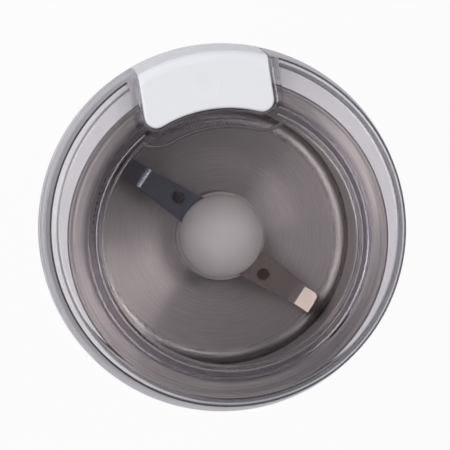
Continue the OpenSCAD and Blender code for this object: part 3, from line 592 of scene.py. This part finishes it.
def windowPlan(grow, sizes):
    # the sunken window: a circle about the bowl's axis, less the lip beside the button
    ring = sizes["window"] + grow
    lip = sizes["lip"] - grow
    reach = plan["reach"]
    corner = plan["corner"] + lip
    cut = degrees(acos((ring ** 2 + reach ** 2 - corner ** 2) / (2 * ring * reach)))
    meet = plan["meet"] - cut
    start = degrees(atan2(bowlY + ring * sin(radians(meet)) - plan["cornerY"],
                          ring * cos(radians(meet)) - plan["cornerX"]))
    around = arcPoints(0, bowlY, ring, 180 - meet, 360 + meet, 120)
    return around[:-1] + innerSide(lip, start, -180 - start)[:-1]


def atHeight(outline, z):
    return [(x, y, z) for x, y in outline]


# lid

lidSizes = {"seam": 47.48, "seamZ": 143.0, "draft": 2.7, "low": 143.3, "top": 172.0, "edge": 3.0,
            "plateUnder": 169.4, "inside": 43.9, "plugOut": 35.6, "plugIn": 33.6, "plugLow": 157.0,
            "windowUnder": 168.6, "window": 32.1, "sunk": 1.2, "lip": 4.6, "wall": 2.4, "wallLow": 162.6,
            "gap": 0.4, "joinTop": (170.9, 170.5, 170.2)}


def lidRadius(sizes, z):
    # the lid's outside narrows evenly from the seam to its rounded top edge
    share = (z - sizes["seamZ"]) / (sizes["top"] - sizes["edge"] - sizes["seamZ"])
    return sizes["seam"] - sizes["draft"] * share


def lidEnvelope(name, sizes, low):
    # what the lid and the button share, solid from the height low up
    edge, high = sizes["edge"], sizes["top"] - sizes["edge"]
    inner = lidRadius(sizes, high) - edge
    around = arcPoints(inner, high, edge, 0, 86, 10)
    return revolve(name, [(0, low), (lidRadius(sizes, low), low)] + around
                   + [(around[-1][0], high + 2 * edge), (0, high + 2 * edge)])


def makeLid(sizes):
    low, top, edge, inside = sizes["low"], sizes["top"], sizes["edge"], sizes["inside"]
    under, out, gap = sizes["plateUnder"], sizes["plugOut"], sizes["gap"]
    skirt = [(inside + 0.3, low), (inside, low + 1), (inside, sizes["wallLow"]),
             (inside - 0.5, under - 0.8), (inside - 1.6, under), (0, under), (0, top)]
    skirt += arcPoints(lidRadius(sizes, top - edge) - edge, top - edge, edge, 90, 0, 12)
    skirt += [(lidRadius(sizes, low + 0.4), low + 0.4), (lidRadius(sizes, low) - 0.28, low)]
    shell = revolve("lidShell", skirt, steps=fineSteps)
    # the ring that hangs into the bowl, and the walls beside the button
    plugTop, upperTop, lowerTop = sizes["joinTop"]
    plug = softened([(0, sizes["windowUnder"]), (sizes["plugIn"], sizes["windowUnder"], 0.5),
                     (sizes["plugIn"], sizes["plugLow"], 0.5), (out, sizes["plugLow"], 0.5),
                     (out, plugTop), (0, plugTop)])
    ring = revolve("plug", plug, 0, bowlY, fineSteps)
    upper = prism("upper", buttonPlan(sizes["wall"]), sizes["wallLow"], upperTop)
    combine(upper, "INTERSECT", rod("trim", 0, 0, inside + 0.4, sizes["plugLow"], top + 3, fineSteps))
    lower = prism("lower", buttonPlan(sizes["wall"]), sizes["plugLow"] + 0.05, lowerTop)
    combine(lower, "INTERSECT", rod("trim", 0, bowlY, out - 0.2, sizes["plugLow"] - 3, top + 3, fineSteps))
    combine(shell, "UNION", ring, upper, lower)
    # both cut-outs widen in a small round towards the top face
    mouth = [(low - 3, gap), (top - 0.7, gap), (top - 0.3, gap + 0.12), (top, gap + 0.55),
             (top + 3, gap + 0.55)]
    cut = loft("cut", [atHeight(buttonPlan(grow), z) for z, grow in mouth])
    floor = top - sizes["sunk"]
    sink = [(floor, -0.5), (floor + 0.08, -0.22), (floor + 0.3, 0.0), (top - 0.4, 0.0), (top - 0.1, 0.16),
            (top, 0.45), (top + 1, 0.45)]
    window = loft("window", [atHeight(windowPlan(grow, sizes), z) for z, grow in sink])
    combine(shell, "DIFFERENCE", cut, window)
    return place(shell, finishes["smokyClear"], "lid", ["lid"], 32)


lidShell = makeLid(lidSizes)
print("lid:", len(lidShell.data.polygons), "faces")


# press button

buttonSizes = {"apron": 149.3, "capUnder": 165.3, "top": 172.0, "topUnder": 170.0, "wall": 1.2,
               "neckRoom": 43.9, "inside": 43.6, "low": 140.0, "dimpleY": 36.0, "dimple": 3.6,
               "dimpleDepth": 0.25, "rodY": 40.6, "socket": 1.82, "boss": 3.4, "bossHeight": 1.6,
               "legX": 8.5, "legWidth": 4.0, "legY": 38.1, "legThick": 1.8, "hookLow": 154.2, "hook": 1.2,
               "overlap": 0.3}


def makeDimple(sizes):
    # a shallow bowl for the thumb, its rim a little wider above the top face
    deep, wide, top = sizes["dimpleDepth"], sizes["dimple"], sizes["top"]
    ball = (wide ** 2 + deep ** 2) / (2 * deep)
    profile = [(0, top - deep)]
    for k in range(1, 13):
        r = wide * k / 12
        profile.append((r, top - deep + ball - sqrt(ball ** 2 - r ** 2)))
    profile += [(wide + 0.12, top + 0.02), (wide + 0.12, top + 1), (0, top + 1)]
    return revolve("dimple", profile, 0, sizes["dimpleY"], 96)


def makeButton(sizes):
    top, under, low, rodY = sizes["top"], sizes["topUnder"], sizes["low"], sizes["rodY"]
    rounding = [(sizes["apron"], -0.25), (sizes["apron"] + 0.25, 0.0), (top - 0.7, 0.0),
                (top - 0.46, -0.04), (top - 0.24, -0.16), (top - 0.08, -0.36), (top, -0.68)]
    cap = loft("buttonCap", [atHeight(buttonPlan(grow), z) for z, grow in rounding])
    combine(cap, "INTERSECT", lidEnvelope("outside", lidSizes, 145.0))
    neckRoom = rod("neckRoom", 0, 0, sizes["neckRoom"], low, sizes["capUnder"], roundSteps)
    inside = prism("inside", buttonPlan(-sizes["wall"]), low, under)
    combine(inside, "INTERSECT", rod("trim", 0, 0, sizes["inside"], low - 1, top, roundSteps))
    combine(cap, "DIFFERENCE", neckRoom, inside, makeDimple(sizes))
    combine(cap, "UNION", rod("boss", 0, rodY, sizes["boss"], under - sizes["bossHeight"],
                              under + sizes["overlap"]))
    combine(cap, "DIFFERENCE", rod("socket", 0, rodY, sizes["socket"], sizes["hookLow"], under - 0.05))
    legY, hookLow = sizes["legY"], sizes["hookLow"]
    for side in (-1, 1):
        x0, x1 = sorted((side * sizes["legX"], side * (sizes["legX"] + sizes["legWidth"])))
        leg = block("leg", (x0, legY, hookLow), (x1, legY + sizes["legThick"], under + sizes["overlap"]))
        reaches = ((hookLow, 0.2), (hookLow + 1.2, sizes["hook"]), (hookLow + 2, sizes["hook"]))
        hook = loft("hook", [[(x0, legY - reach, z), (x1, legY - reach, z), (x1, legY + 0.1, z),
                              (x0, legY + 0.1, z)] for z, reach in reaches])
        combine(cap, "UNION", leg, hook)
    return place(cap, finishes["buttonWhite"], "button", ["start_button"], 32)


buttonCap = makeButton(buttonSizes)
print("button:", len(buttonCap.data.polygons), "faces")


# housing

housingSizes = {"foot": 3.0, "base": 44.0, "seam": 47.5, "seamZ": 143.0, "neck": 43.5, "neckZ": 162.0,
                "baseIn": 41.6, "seamIn": 45.1, "shoulderUnder": 140.6, "neckWall": 2.4, "deck": 156.5,
                "bowlHole": 37.2, "rebate": 40.55, "rebateZ": 160.0, "key": 146.0,
                "carrier": 110.5, "carrierPosts": (20, 160, 235, 305), "carrierPostAt": 41.89,
                "carrierPostTop": 142.9, "carrierHole": 1.92, "basePosts": (90, 210, 330),
                "basePostAt": 36.5, "basePost": (8.0, 26.0), "baseHole": 1.52, "postRadius": 3.4,
                "screwDepth": 13.5, "rodY": 40.6, "rodGuide": (3.6, 134.0), "rodBore": 1.85,
                "pin": (18.2, 36.63), "pinGuide": (3.3, 133.3), "pinBore": 1.55, "guideTop": 161.5,
                "legSlotX": (8.2, 12.8), "legSlotY": (37.8, 40.2), "legSlotZ": 148.5,
                "cordZ": 17.0, "cordHole": 4.6, "cordFrom": 60.0, "cordTo": 38.0}


def screwPosts(sizes):
    # where each post stands, its radius, its foot and top, and its screw's hole
    posts = []
    for a in sizes["carrierPosts"]:
        x, y = sizes["carrierPostAt"] * cos(radians(a)), sizes["carrierPostAt"] * sin(radians(a))
        posts.append((x, y, sizes["postRadius"], sizes["carrier"], sizes["carrierPostTop"],
                      sizes["carrierHole"]))
    for a in sizes["basePosts"]:
        x, y = sizes["basePostAt"] * cos(radians(a)), sizes["basePostAt"] * sin(radians(a))
        posts.append((x, y, sizes["postRadius"], *sizes["basePost"], sizes["baseHole"]))
    return posts


def copyOf(piece):
    twin = piece.copy()
    twin.data = piece.data.copy()
    bpy.context.scene.collection.objects.link(twin)
    return twin


def makeCordHole(sizes):
    # turned about an upright axis, then laid down to point backward
    radius, far, near = sizes["cordHole"], sizes["cordFrom"], sizes["cordTo"]
    cord = revolve("cordHole", [(0, -far), (radius, -far), (radius, -near), (0, -near)], steps=64)
    for vertex in cord.data.vertices:
        x, y, z = vertex.co
        vertex.co = (x, z, sizes["cordZ"] * mm - y)
    faceOutward(cord)
    return cord


def makeHousing(sizes):
    seam, neck, neckZ, deck = sizes["seam"], sizes["neck"], sizes["neckZ"], sizes["deck"]
    foot, under = sizes["foot"], sizes["shoulderUnder"]
    outside = softened([(0, foot), (sizes["base"] - 0.05, foot, 2.0), (seam, sizes["seamZ"], 0.5),
                        (neck, sizes["seamZ"], 0.4), (neck, neckZ, 0.4), (0, neckZ)])
    shell = revolve("housingShell", outside, steps=fineSteps)
    neckIn = neck - sizes["neckWall"]
    hollow = [(0, foot - 1), (sizes["baseIn"], foot - 1), (sizes["baseIn"], foot + 2),
              (sizes["seamIn"], under - 1), (sizes["seamIn"] - 1, under), (neckIn + 1, under),
              (neckIn, under + 1), (neckIn, deck - 1), (neckIn - 1, deck), (0, deck)]
    solid = copyOf(shell)
    combine(shell, "DIFFERENCE", revolve("hollow", hollow))
    screws = screwPosts(sizes)
    posts = [post[:5] for post in screws]
    posts.append((0, sizes["rodY"], *sizes["rodGuide"], sizes["guideTop"]))
    posts.append((*sizes["pin"], *sizes["pinGuide"], sizes["guideTop"]))
    for x, y, radius, low, high in posts:
        # each post is tied to the wall by a web and trimmed to the housing
        turn = degrees(atan2(y, x))
        post = rod("post", x, y, radius, low, high)
        web = block("web", (sqrt(x * x + y * y), -radius, low + 0.01), (48, radius, high - 0.01), turn)
        combine(post, "UNION", web)
        combine(post, "INTERSECT", copyOf(solid))
        combine(shell, "UNION", post)
    key = prism("key", buttonPlan(0.0), sizes["seamZ"] - 0.4, sizes["key"])
    combine(key, "INTERSECT", lidEnvelope("keyOutside", lidSizes, 141.0))
    combine(key, "DIFFERENCE", rod("keyInside", 0, 0, neck - 0.5, 130, 160, roundSteps))
    combine(shell, "UNION", key)
    bowlHole, rebate, rebateZ = sizes["bowlHole"], sizes["rebate"], sizes["rebateZ"]
    cuts = [revolve("bowlHole", [(0, 150), (bowlHole, 150), (bowlHole, rebateZ), (rebate, rebateZ),
                                 (rebate, neckZ + 3), (0, neckZ + 3)], 0, bowlY),
            rod("rodBore", 0, sizes["rodY"], sizes["rodBore"], 120, neckZ + 3),
            rod("pinBore", *sizes["pin"], sizes["pinBore"], 120, neckZ + 3)]
    for side in (-1, 1):
        x0, x1 = sorted(side * x for x in sizes["legSlotX"])
        y0, y1 = sizes["legSlotY"]
        cuts.append(block("legSlot", (x0, y0, sizes["legSlotZ"]), (x1, y1, neckZ + 1)))
    for x, y, radius, low, high, hole in screws:
        cuts.append(rod("screwHole", x, y, hole, low - 0.5, low + sizes["screwDepth"]))
    combine(shell, "DIFFERENCE", *cuts, makeCordHole(sizes))
    bpy.data.objects.remove(solid)
    return place(shell, finishes["housingWhite"], "base", ["outer_housing"], 32)


housingShell = makeHousing(housingSizes)
print("housing:", len(housingShell.data.polygons), "faces")


# bowl

bowlSizes = {"mouth": 36.0, "floorRadius": 33.6, "floor": 121.0, "fillet": 3.0, "sheet": 0.8,
             "flange": 40.3, "top": 162.0, "lip": 1.5, "groove": (38.6, 39.0, 39.4, 39.8),
             "grooveDepth": 0.25, "plateau": 9.5, "plateauZ": 124.5, "slope": 2.0, "hole": 5.7}


def makeBowl(sizes):
    sheet, floor, top, fillet = sizes["sheet"], sizes["floor"], sizes["top"], sizes["fillet"]
    hole, plateau, plateauZ = sizes["hole"], sizes["plateau"], sizes["plateauZ"]
    foot, mouth = plateau + sizes["slope"], sizes["mouth"]
    inside = [(hole, plateauZ), (plateau, plateauZ, 1.6), (foot, floor, 1.2),
              (sizes["floorRadius"], floor, fillet), (mouth, top, sizes["lip"])]
    for radius, depth, soft in zip(sizes["groove"], (0, 1, 1, 0), (0.3, 0.2, 0.2, 0.3)):
        inside.append((radius, top - depth * sizes["grooveDepth"], soft))
    inside.append((sizes["flange"], top, 0.2))
    outside = [(sizes["flange"], top - sheet, 0.2), (mouth + sheet, top - sheet, 0.7),
               (sizes["floorRadius"] + sheet, floor - sheet, fillet + sheet),
               (foot - 0.3, floor - sheet, 1.6), (plateau - 0.3, plateauZ - sheet, 1.6),
               (hole, plateauZ - sheet)]
    bowl = revolve("bowlSpun", softened(inside + outside, 12), 0, bowlY, fineSteps)
    return place(bowl, finishes["spunSteel"], "base", ["bowl"], 50)


bowlSpun = makeBowl(bowlSizes)
print("bowl:", len(bowlSpun.data.polygons), "faces")


# blade, its cap and its hub

bladeSizes = {"z": 129.2, "thick": 1.5, "bendAt": 26.0, "reach": 30.5, "rootWidth": 10.5, "tipWidth": 5.5,
              "shift": 1.5, "tipCorner": 1.4, "ground": 1.6, "groundTo": 0.4, "groundFrom": 11.9,
              "groundEnd": 24.2, "hole": 1.45, "holeAt": 14.9, "holeShift": 0.8, "sink": 0.35,
              "angle": 137.5, "middle": 8.7, "shaftHole": 2.52, "roll": (-2.0, 3.0), "rollFrom": 7.5,
              "rollOver": 3.0, "round": 0.12,
              "down": {"turn": -30.0, "facet": -11.0, "width": 1.4, "radius": 0.5},
              "up": {"turn": 28.5, "facet": 9.6, "width": 2.4, "radius": 0.6}}


def bladePath(sizes, bend):
    # points along one arm: place, height, slope and what is left up to the tip
    half, whole = sizes["thick"] / 2, 9.0
    start, end = sizes["groundFrom"], sizes["groundEnd"]
    path = [(x, half, 0.0, whole) for x in (0.0, 8.0, start, start + 0.4, 18.0, end - 0.4, end - 0.1)]
    x, z = sizes["bendAt"] - bend["width"], half
    path.append((x - 0.1, z, 0.0, whole))
    facet, turn = radians(bend["facet"]), radians(bend["turn"])
    path.append((x + 0.1, z, facet, whole))
    run = bend["width"] - 0.1 - bend["radius"] * tan(abs(turn - facet) / 2)
    x, z = x + 0.1 + run * cos(facet), z + run * sin(facet)
    path.append((x, z, facet, whole))
    # the fold to the tip, in five short steps
    step = 2 * bend["radius"] * sin(abs(turn - facet) / 10)
    for i in range(1, 6):
        a = facet + (turn - facet) * i / 5
        middle = a - (turn - facet) / 10
        x, z = x + step * cos(middle), z + step * sin(middle)
        path.append((x, z, a, whole))
    straight = (sizes["reach"] - x - half * sin(abs(turn))) / cos(turn)
    for left in (2.6, sizes["tipCorner"], 0.9, 0.5, 0.2, 0.05, 0.0):
        far = straight - left
        path.append((x + far * cos(turn), z + far * sin(turn), turn, left))
    return path


def bladeStations(sizes, bend):
    # sections of one arm along +X, its end folded in two steps: a narrow facet, then the tip
    thick, corner, soft = sizes["thick"], sizes["tipCorner"], sizes["round"]
    stations = []
    for x, z, slope, left in bladePath(sizes, bend):
        share = min(1, x / sizes["bendAt"])
        half = sizes["rootWidth"] / 2 + (sizes["tipWidth"] - sizes["rootWidth"]) / 2 * share
        lead = half
        if left < corner:
            lead -= corner - sqrt(corner ** 2 - (corner - left) ** 2)
        sharp = sizes["groundFrom"] + 0.2 < x < sizes["groundEnd"] - 0.2
        edge = sizes["ground"] if sharp else soft
        rise = thick - sizes["groundTo"] if sharp else soft
        section = [(-half, 0), (lead - edge, 0), (lead, rise), (lead, thick - soft), (lead - soft, thick),
                   (-half, thick)]
        stations.append([(x - sin(slope) * (h - thick / 2), y - sizes["shift"],
                          z + cos(slope) * (h - thick / 2)) for y, h in section])
    return stations


def makeBlade(sizes):
    thick, sink, hole, holeAt = sizes["thick"], sizes["sink"], sizes["hole"], sizes["holeAt"]
    near = bladeStations(sizes, sizes["down"])
    far = bladeStations(sizes, sizes["up"])
    strip = loft("bladeStrip", near)
    other = loft("farArm", [[(-x, -y, z) for x, y, z in section] for section in far])
    holeY = -sizes["shift"] - sizes["holeShift"]
    for arm, side, roll in ((strip, 1, sizes["roll"][0]), (other, -1, sizes["roll"][1])):
        soften(arm, 0.1, 50)
        for vertex in arm.data.vertices:
            along = min(1.0, max(0.0, (abs(vertex.co.x) / mm - sizes["rollFrom"]) / sizes["rollOver"]))
            vertex.co.z += (vertex.co.y + side * sizes["shift"] * mm) * tan(radians(roll)) * along
        funnel = [(0, thick - sink), (hole, thick - sink), (hole + 2 * sink, thick + sink), (0, thick + sink)]
        combine(arm, "DIFFERENCE", revolve("funnel", funnel, side * holeAt, side * holeY, 48))
    combine(strip, "UNION", other)
    combine(strip, "DIFFERENCE", rod("holeA", holeAt, holeY, hole, -2, 4, 32),
            rod("holeB", -holeAt, -holeY, hole, -2, 4, 32))
    combine(strip, "UNION", rod("middle", 0, 0, sizes["middle"], 0.01, thick - 0.01, 96))
    combine(strip, "DIFFERENCE", rod("shaftHole", 0, 0, sizes["shaftHole"], -2, 4, 48))
    strip.data.transform(Matrix.Translation((0, bowlY * mm, sizes["z"] * mm))
                         @ Matrix.Rotation(radians(sizes["angle"]), 4, "Z"))
    return place(strip, finishes["groundSteel"], "rotor", ["blade"], 25)


capSizes = {"radius": 10.9, "low": 130.7, "edge": 1.5, "dome": 6.5, "bore": 2.55, "boreDepth": 3.5,
            "rimTurn": 2.2}


def makeCap(sizes):
    radius, low, bore, dome = sizes["radius"], sizes["low"], sizes["bore"], sizes["dome"]
    ball = (radius ** 2 + dome ** 2) / (2 * dome)
    top = low + sizes["edge"] + dome
    start = degrees(atan2(ball - dome, radius)) + sizes["rimTurn"]
    profile = softened([(bore, low), (radius, low, 0.25), (radius, low + sizes["edge"] - 0.1)])
    profile += arcPoints(0, top - ball, ball, start, 88, 30)
    profile += [(0, top), (0, low + sizes["boreDepth"]), (bore, low + sizes["boreDepth"])]
    cap = revolve("capDome", profile, 0, bowlY, 160)
    return place(cap, finishes["satinCap"], "rotor", ["blade_cap"], 30)


hubSizes = {"radius": 11.6, "low": 127.2, "high": 129.2, "boss": 6.0, "bossLow": 126.4, "bore": 2.55}


def makeHub(sizes):
    low, high, bossLow, bore = sizes["low"], sizes["high"], sizes["bossLow"], sizes["bore"]
    profile = softened([(bore, bossLow), (sizes["boss"], bossLow, 0.2), (sizes["boss"], low, 0.2),
                        (sizes["radius"], low, 0.5), (sizes["radius"], high, 0.35), (bore, high)])
    hub = revolve("hubFlange", profile, 0, bowlY, 160)
    return place(hub, finishes["hubGrey"], "rotor", ["blade_hub"], 40)


bladeStrip = makeBlade(bladeSizes)
capDome = makeCap(capSizes)
hubFlange = makeHub(hubSizes)
print("blade:", len(bladeStrip.data.polygons), "faces")


# rubber feet

feetSizes = {"radius": 5.0, "height": 3.0, "distance": 32.0, "first": 45, "stem": 1.98, "barb": 2.78,
             "barbHeight": 1.6, "coverTop": 5.5, "cup": (2.6, 3.1), "cupDepth": 0.35}


def makeFeet(sizes):
    # each foot has a shallow cup below and a stem with a barb through the cover
    stem, height, cover, cup = sizes["stem"], sizes["height"], sizes["coverTop"], sizes["cup"]
    tip = cover + sizes["barbHeight"]
    profile = softened([(0, sizes["cupDepth"]), (cup[0], sizes["cupDepth"]), (cup[1], 0, 0.2),
                        (sizes["radius"], 0, 0.9), (sizes["radius"], height, 0.3), (stem, height),
                        (stem, cover), (sizes["barb"], cover), (stem, tip, 0.3), (0, tip)])
    feet = []
    for k in range(4):
        a = radians(sizes["first"] + 90 * k)
        foot = revolve("rubberFoot" + "ABCD"[k], profile, sizes["distance"] * cos(a),
                       sizes["distance"] * sin(a), 64)
        place(foot, finishes["rubberBlack"], "base", (), 35)
        feet.append(foot)
    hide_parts("rubber_feet")
    return feet


rubberFeet = makeFeet(feetSizes)
print("feet:", len(rubberFeet))


# stage, light and camera

stageSizes = {"floorRadius": 6.0, "floorSteps": 64, "paper": (0.66, 0.655, 0.69), "glow": 0.945}


def makeFloor(sizes):
    mesh = bpy.data.meshes.new("studioFloor")
    steps = sizes["floorSteps"]
    around = arcPoints(0, 0, sizes["floorRadius"], 0, 360 - 360 / steps, steps - 1)
    mesh.from_pydata(atHeight(around, 0.0), [], [list(range(steps))])
    floor = bpy.data.objects.new("studioFloor", mesh)
    bpy.context.scene.collection.objects.link(floor)
    material, wire = newMaterial("paleFloor")
    seen = wire.add("ShaderNodeLightPath", {}, {}, "Is Camera Ray")
    paper = wire.add("ShaderNodeBsdfDiffuse", {}, {"Color": colour(*sizes["paper"])})
    glow = wire.add("ShaderNodeEmission", {}, {"Color": colour(1, 1, 1), "Strength": 1.0})
    both = wire.add("ShaderNodeMixShader", {}, {0: seen * sizes["glow"], 1: paper, 2: glow})
    wire.add("ShaderNodeOutputMaterial", {}, {"Surface": both})
    mesh.materials.append(material)


worldLook = {"zenith": 0.1, "sides": 1.55, "ends": 1.15, "near": 0.35, "bend": 1.5, "patch": 0.085,
             "patchEdge": (0.955, 0.99), "tint": (0.97, 0.97, 1.03)}


def makeWorld(look):
    # a soft room, darkest overhead and brightest low down on the two sides
    world = bpy.data.worlds.new("studioSky")
    world.use_nodes = True
    world.node_tree.nodes.clear()
    wire = Wire(world.node_tree)
    x, y, z = wire.add("ShaderNodeTexCoord", {}, {}, 0).split()
    low = (1 - wire.maths("MAXIMUM", z, 0.0)) ** look["bend"]
    side = x * x / (x * x + y * y + 0.0001)
    ends = (y * 0.5 + 0.5).span(look["near"], look["ends"])
    edge = ends + side * (look["sides"] - ends)
    room = low * (edge - look["zenith"]) + look["zenith"]
    bright = room + z.between(*look["patchEdge"], True) * (look["patch"] - room)
    tinted = wire.add("ShaderNodeCombineXYZ", {}, {k: bright * look["tint"][k] for k in range(3)})
    sky = wire.add("ShaderNodeBackground", {}, {"Color": tinted, "Strength": 1.0})
    wire.add("ShaderNodeOutputWorld", {}, {"Surface": sky})
    bpy.context.scene.world = world


lampSizes = {
    "softboxRight": {"azimuth": 14, "height": 63, "size": 0.35, "power": 1.9},
    "softboxLeft": {"azimuth": 144, "height": 42, "size": 0.9, "power": 2.4},
    "softboxWide": {"azimuth": 184, "height": 47, "size": 1.2, "power": 3.6},
    "softboxHigh": {"azimuth": 204, "height": 67, "size": 0.35, "power": 0.75},
    "softboxSmall": {"azimuth": 138, "height": 73, "size": 0.12, "power": 0.2},
    "softboxNear": {"azimuth": 240, "height": 50, "size": 0.5, "power": 0.55},
    "softboxFar": {"azimuth": 30, "height": 45, "size": 0.5, "power": 0.6},
}
lampShared = {"distance": 1.1, "middle": (0, 0, 0.13), "colour": (1.0, 0.965, 0.93)}


def makeLamps(lamps, shared):
    for name, sizes in lamps.items():
        data = bpy.data.lights.new(name, "AREA")
        data.shape = "SQUARE"
        data.size = sizes["size"]
        data.energy = sizes["power"]
        data.color = shared["colour"]
        lamp = bpy.data.objects.new(name, data)
        bpy.context.scene.collection.objects.link(lamp)
        a, h = radians(sizes["azimuth"]), radians(sizes["height"])
        away = Vector((cos(a) * cos(h), sin(a) * cos(h), sin(h)))
        lamp.location = Vector(shared["middle"]) + away * shared["distance"]
        lamp.rotation_euler = away.to_track_quat("Z", "Y").to_euler()
        lamp.visible_camera = False


cameraSizes = {"eye": (-50.4, 19.6, 1043.0), "aim": (0.83, 0.5, 143.0), "up": (0.158, 0.987, 0.0),
               "lens": 279.6, "sensor": 36.0, "far": 50.0}


def makeCamera(sizes):
    data = bpy.data.cameras.new("studioCamera")
    data.lens = sizes["lens"]
    data.sensor_width = sizes["sensor"]
    data.clip_end = sizes["far"]
    camera = bpy.data.objects.new("studioCamera", data)
    bpy.context.scene.collection.objects.link(camera)
    eye, aim = Vector(sizes["eye"]) * mm, Vector(sizes["aim"]) * mm
    back = (eye - aim).normalized()
    right = Vector(sizes["up"]).cross(back).normalized()
    up = back.cross(right)
    turn = Matrix((right, up, back)).transposed().to_4x4()
    camera.matrix_world = Matrix.Translation(eye) @ turn
    bpy.context.scene.camera = camera


makeFloor(stageSizes)
makeWorld(worldLook)
makeLamps(lampSizes, lampShared)
makeCamera(cameraSizes)
bpy.context.scene.view_settings.view_transform = "Standard"
print("stage ready")
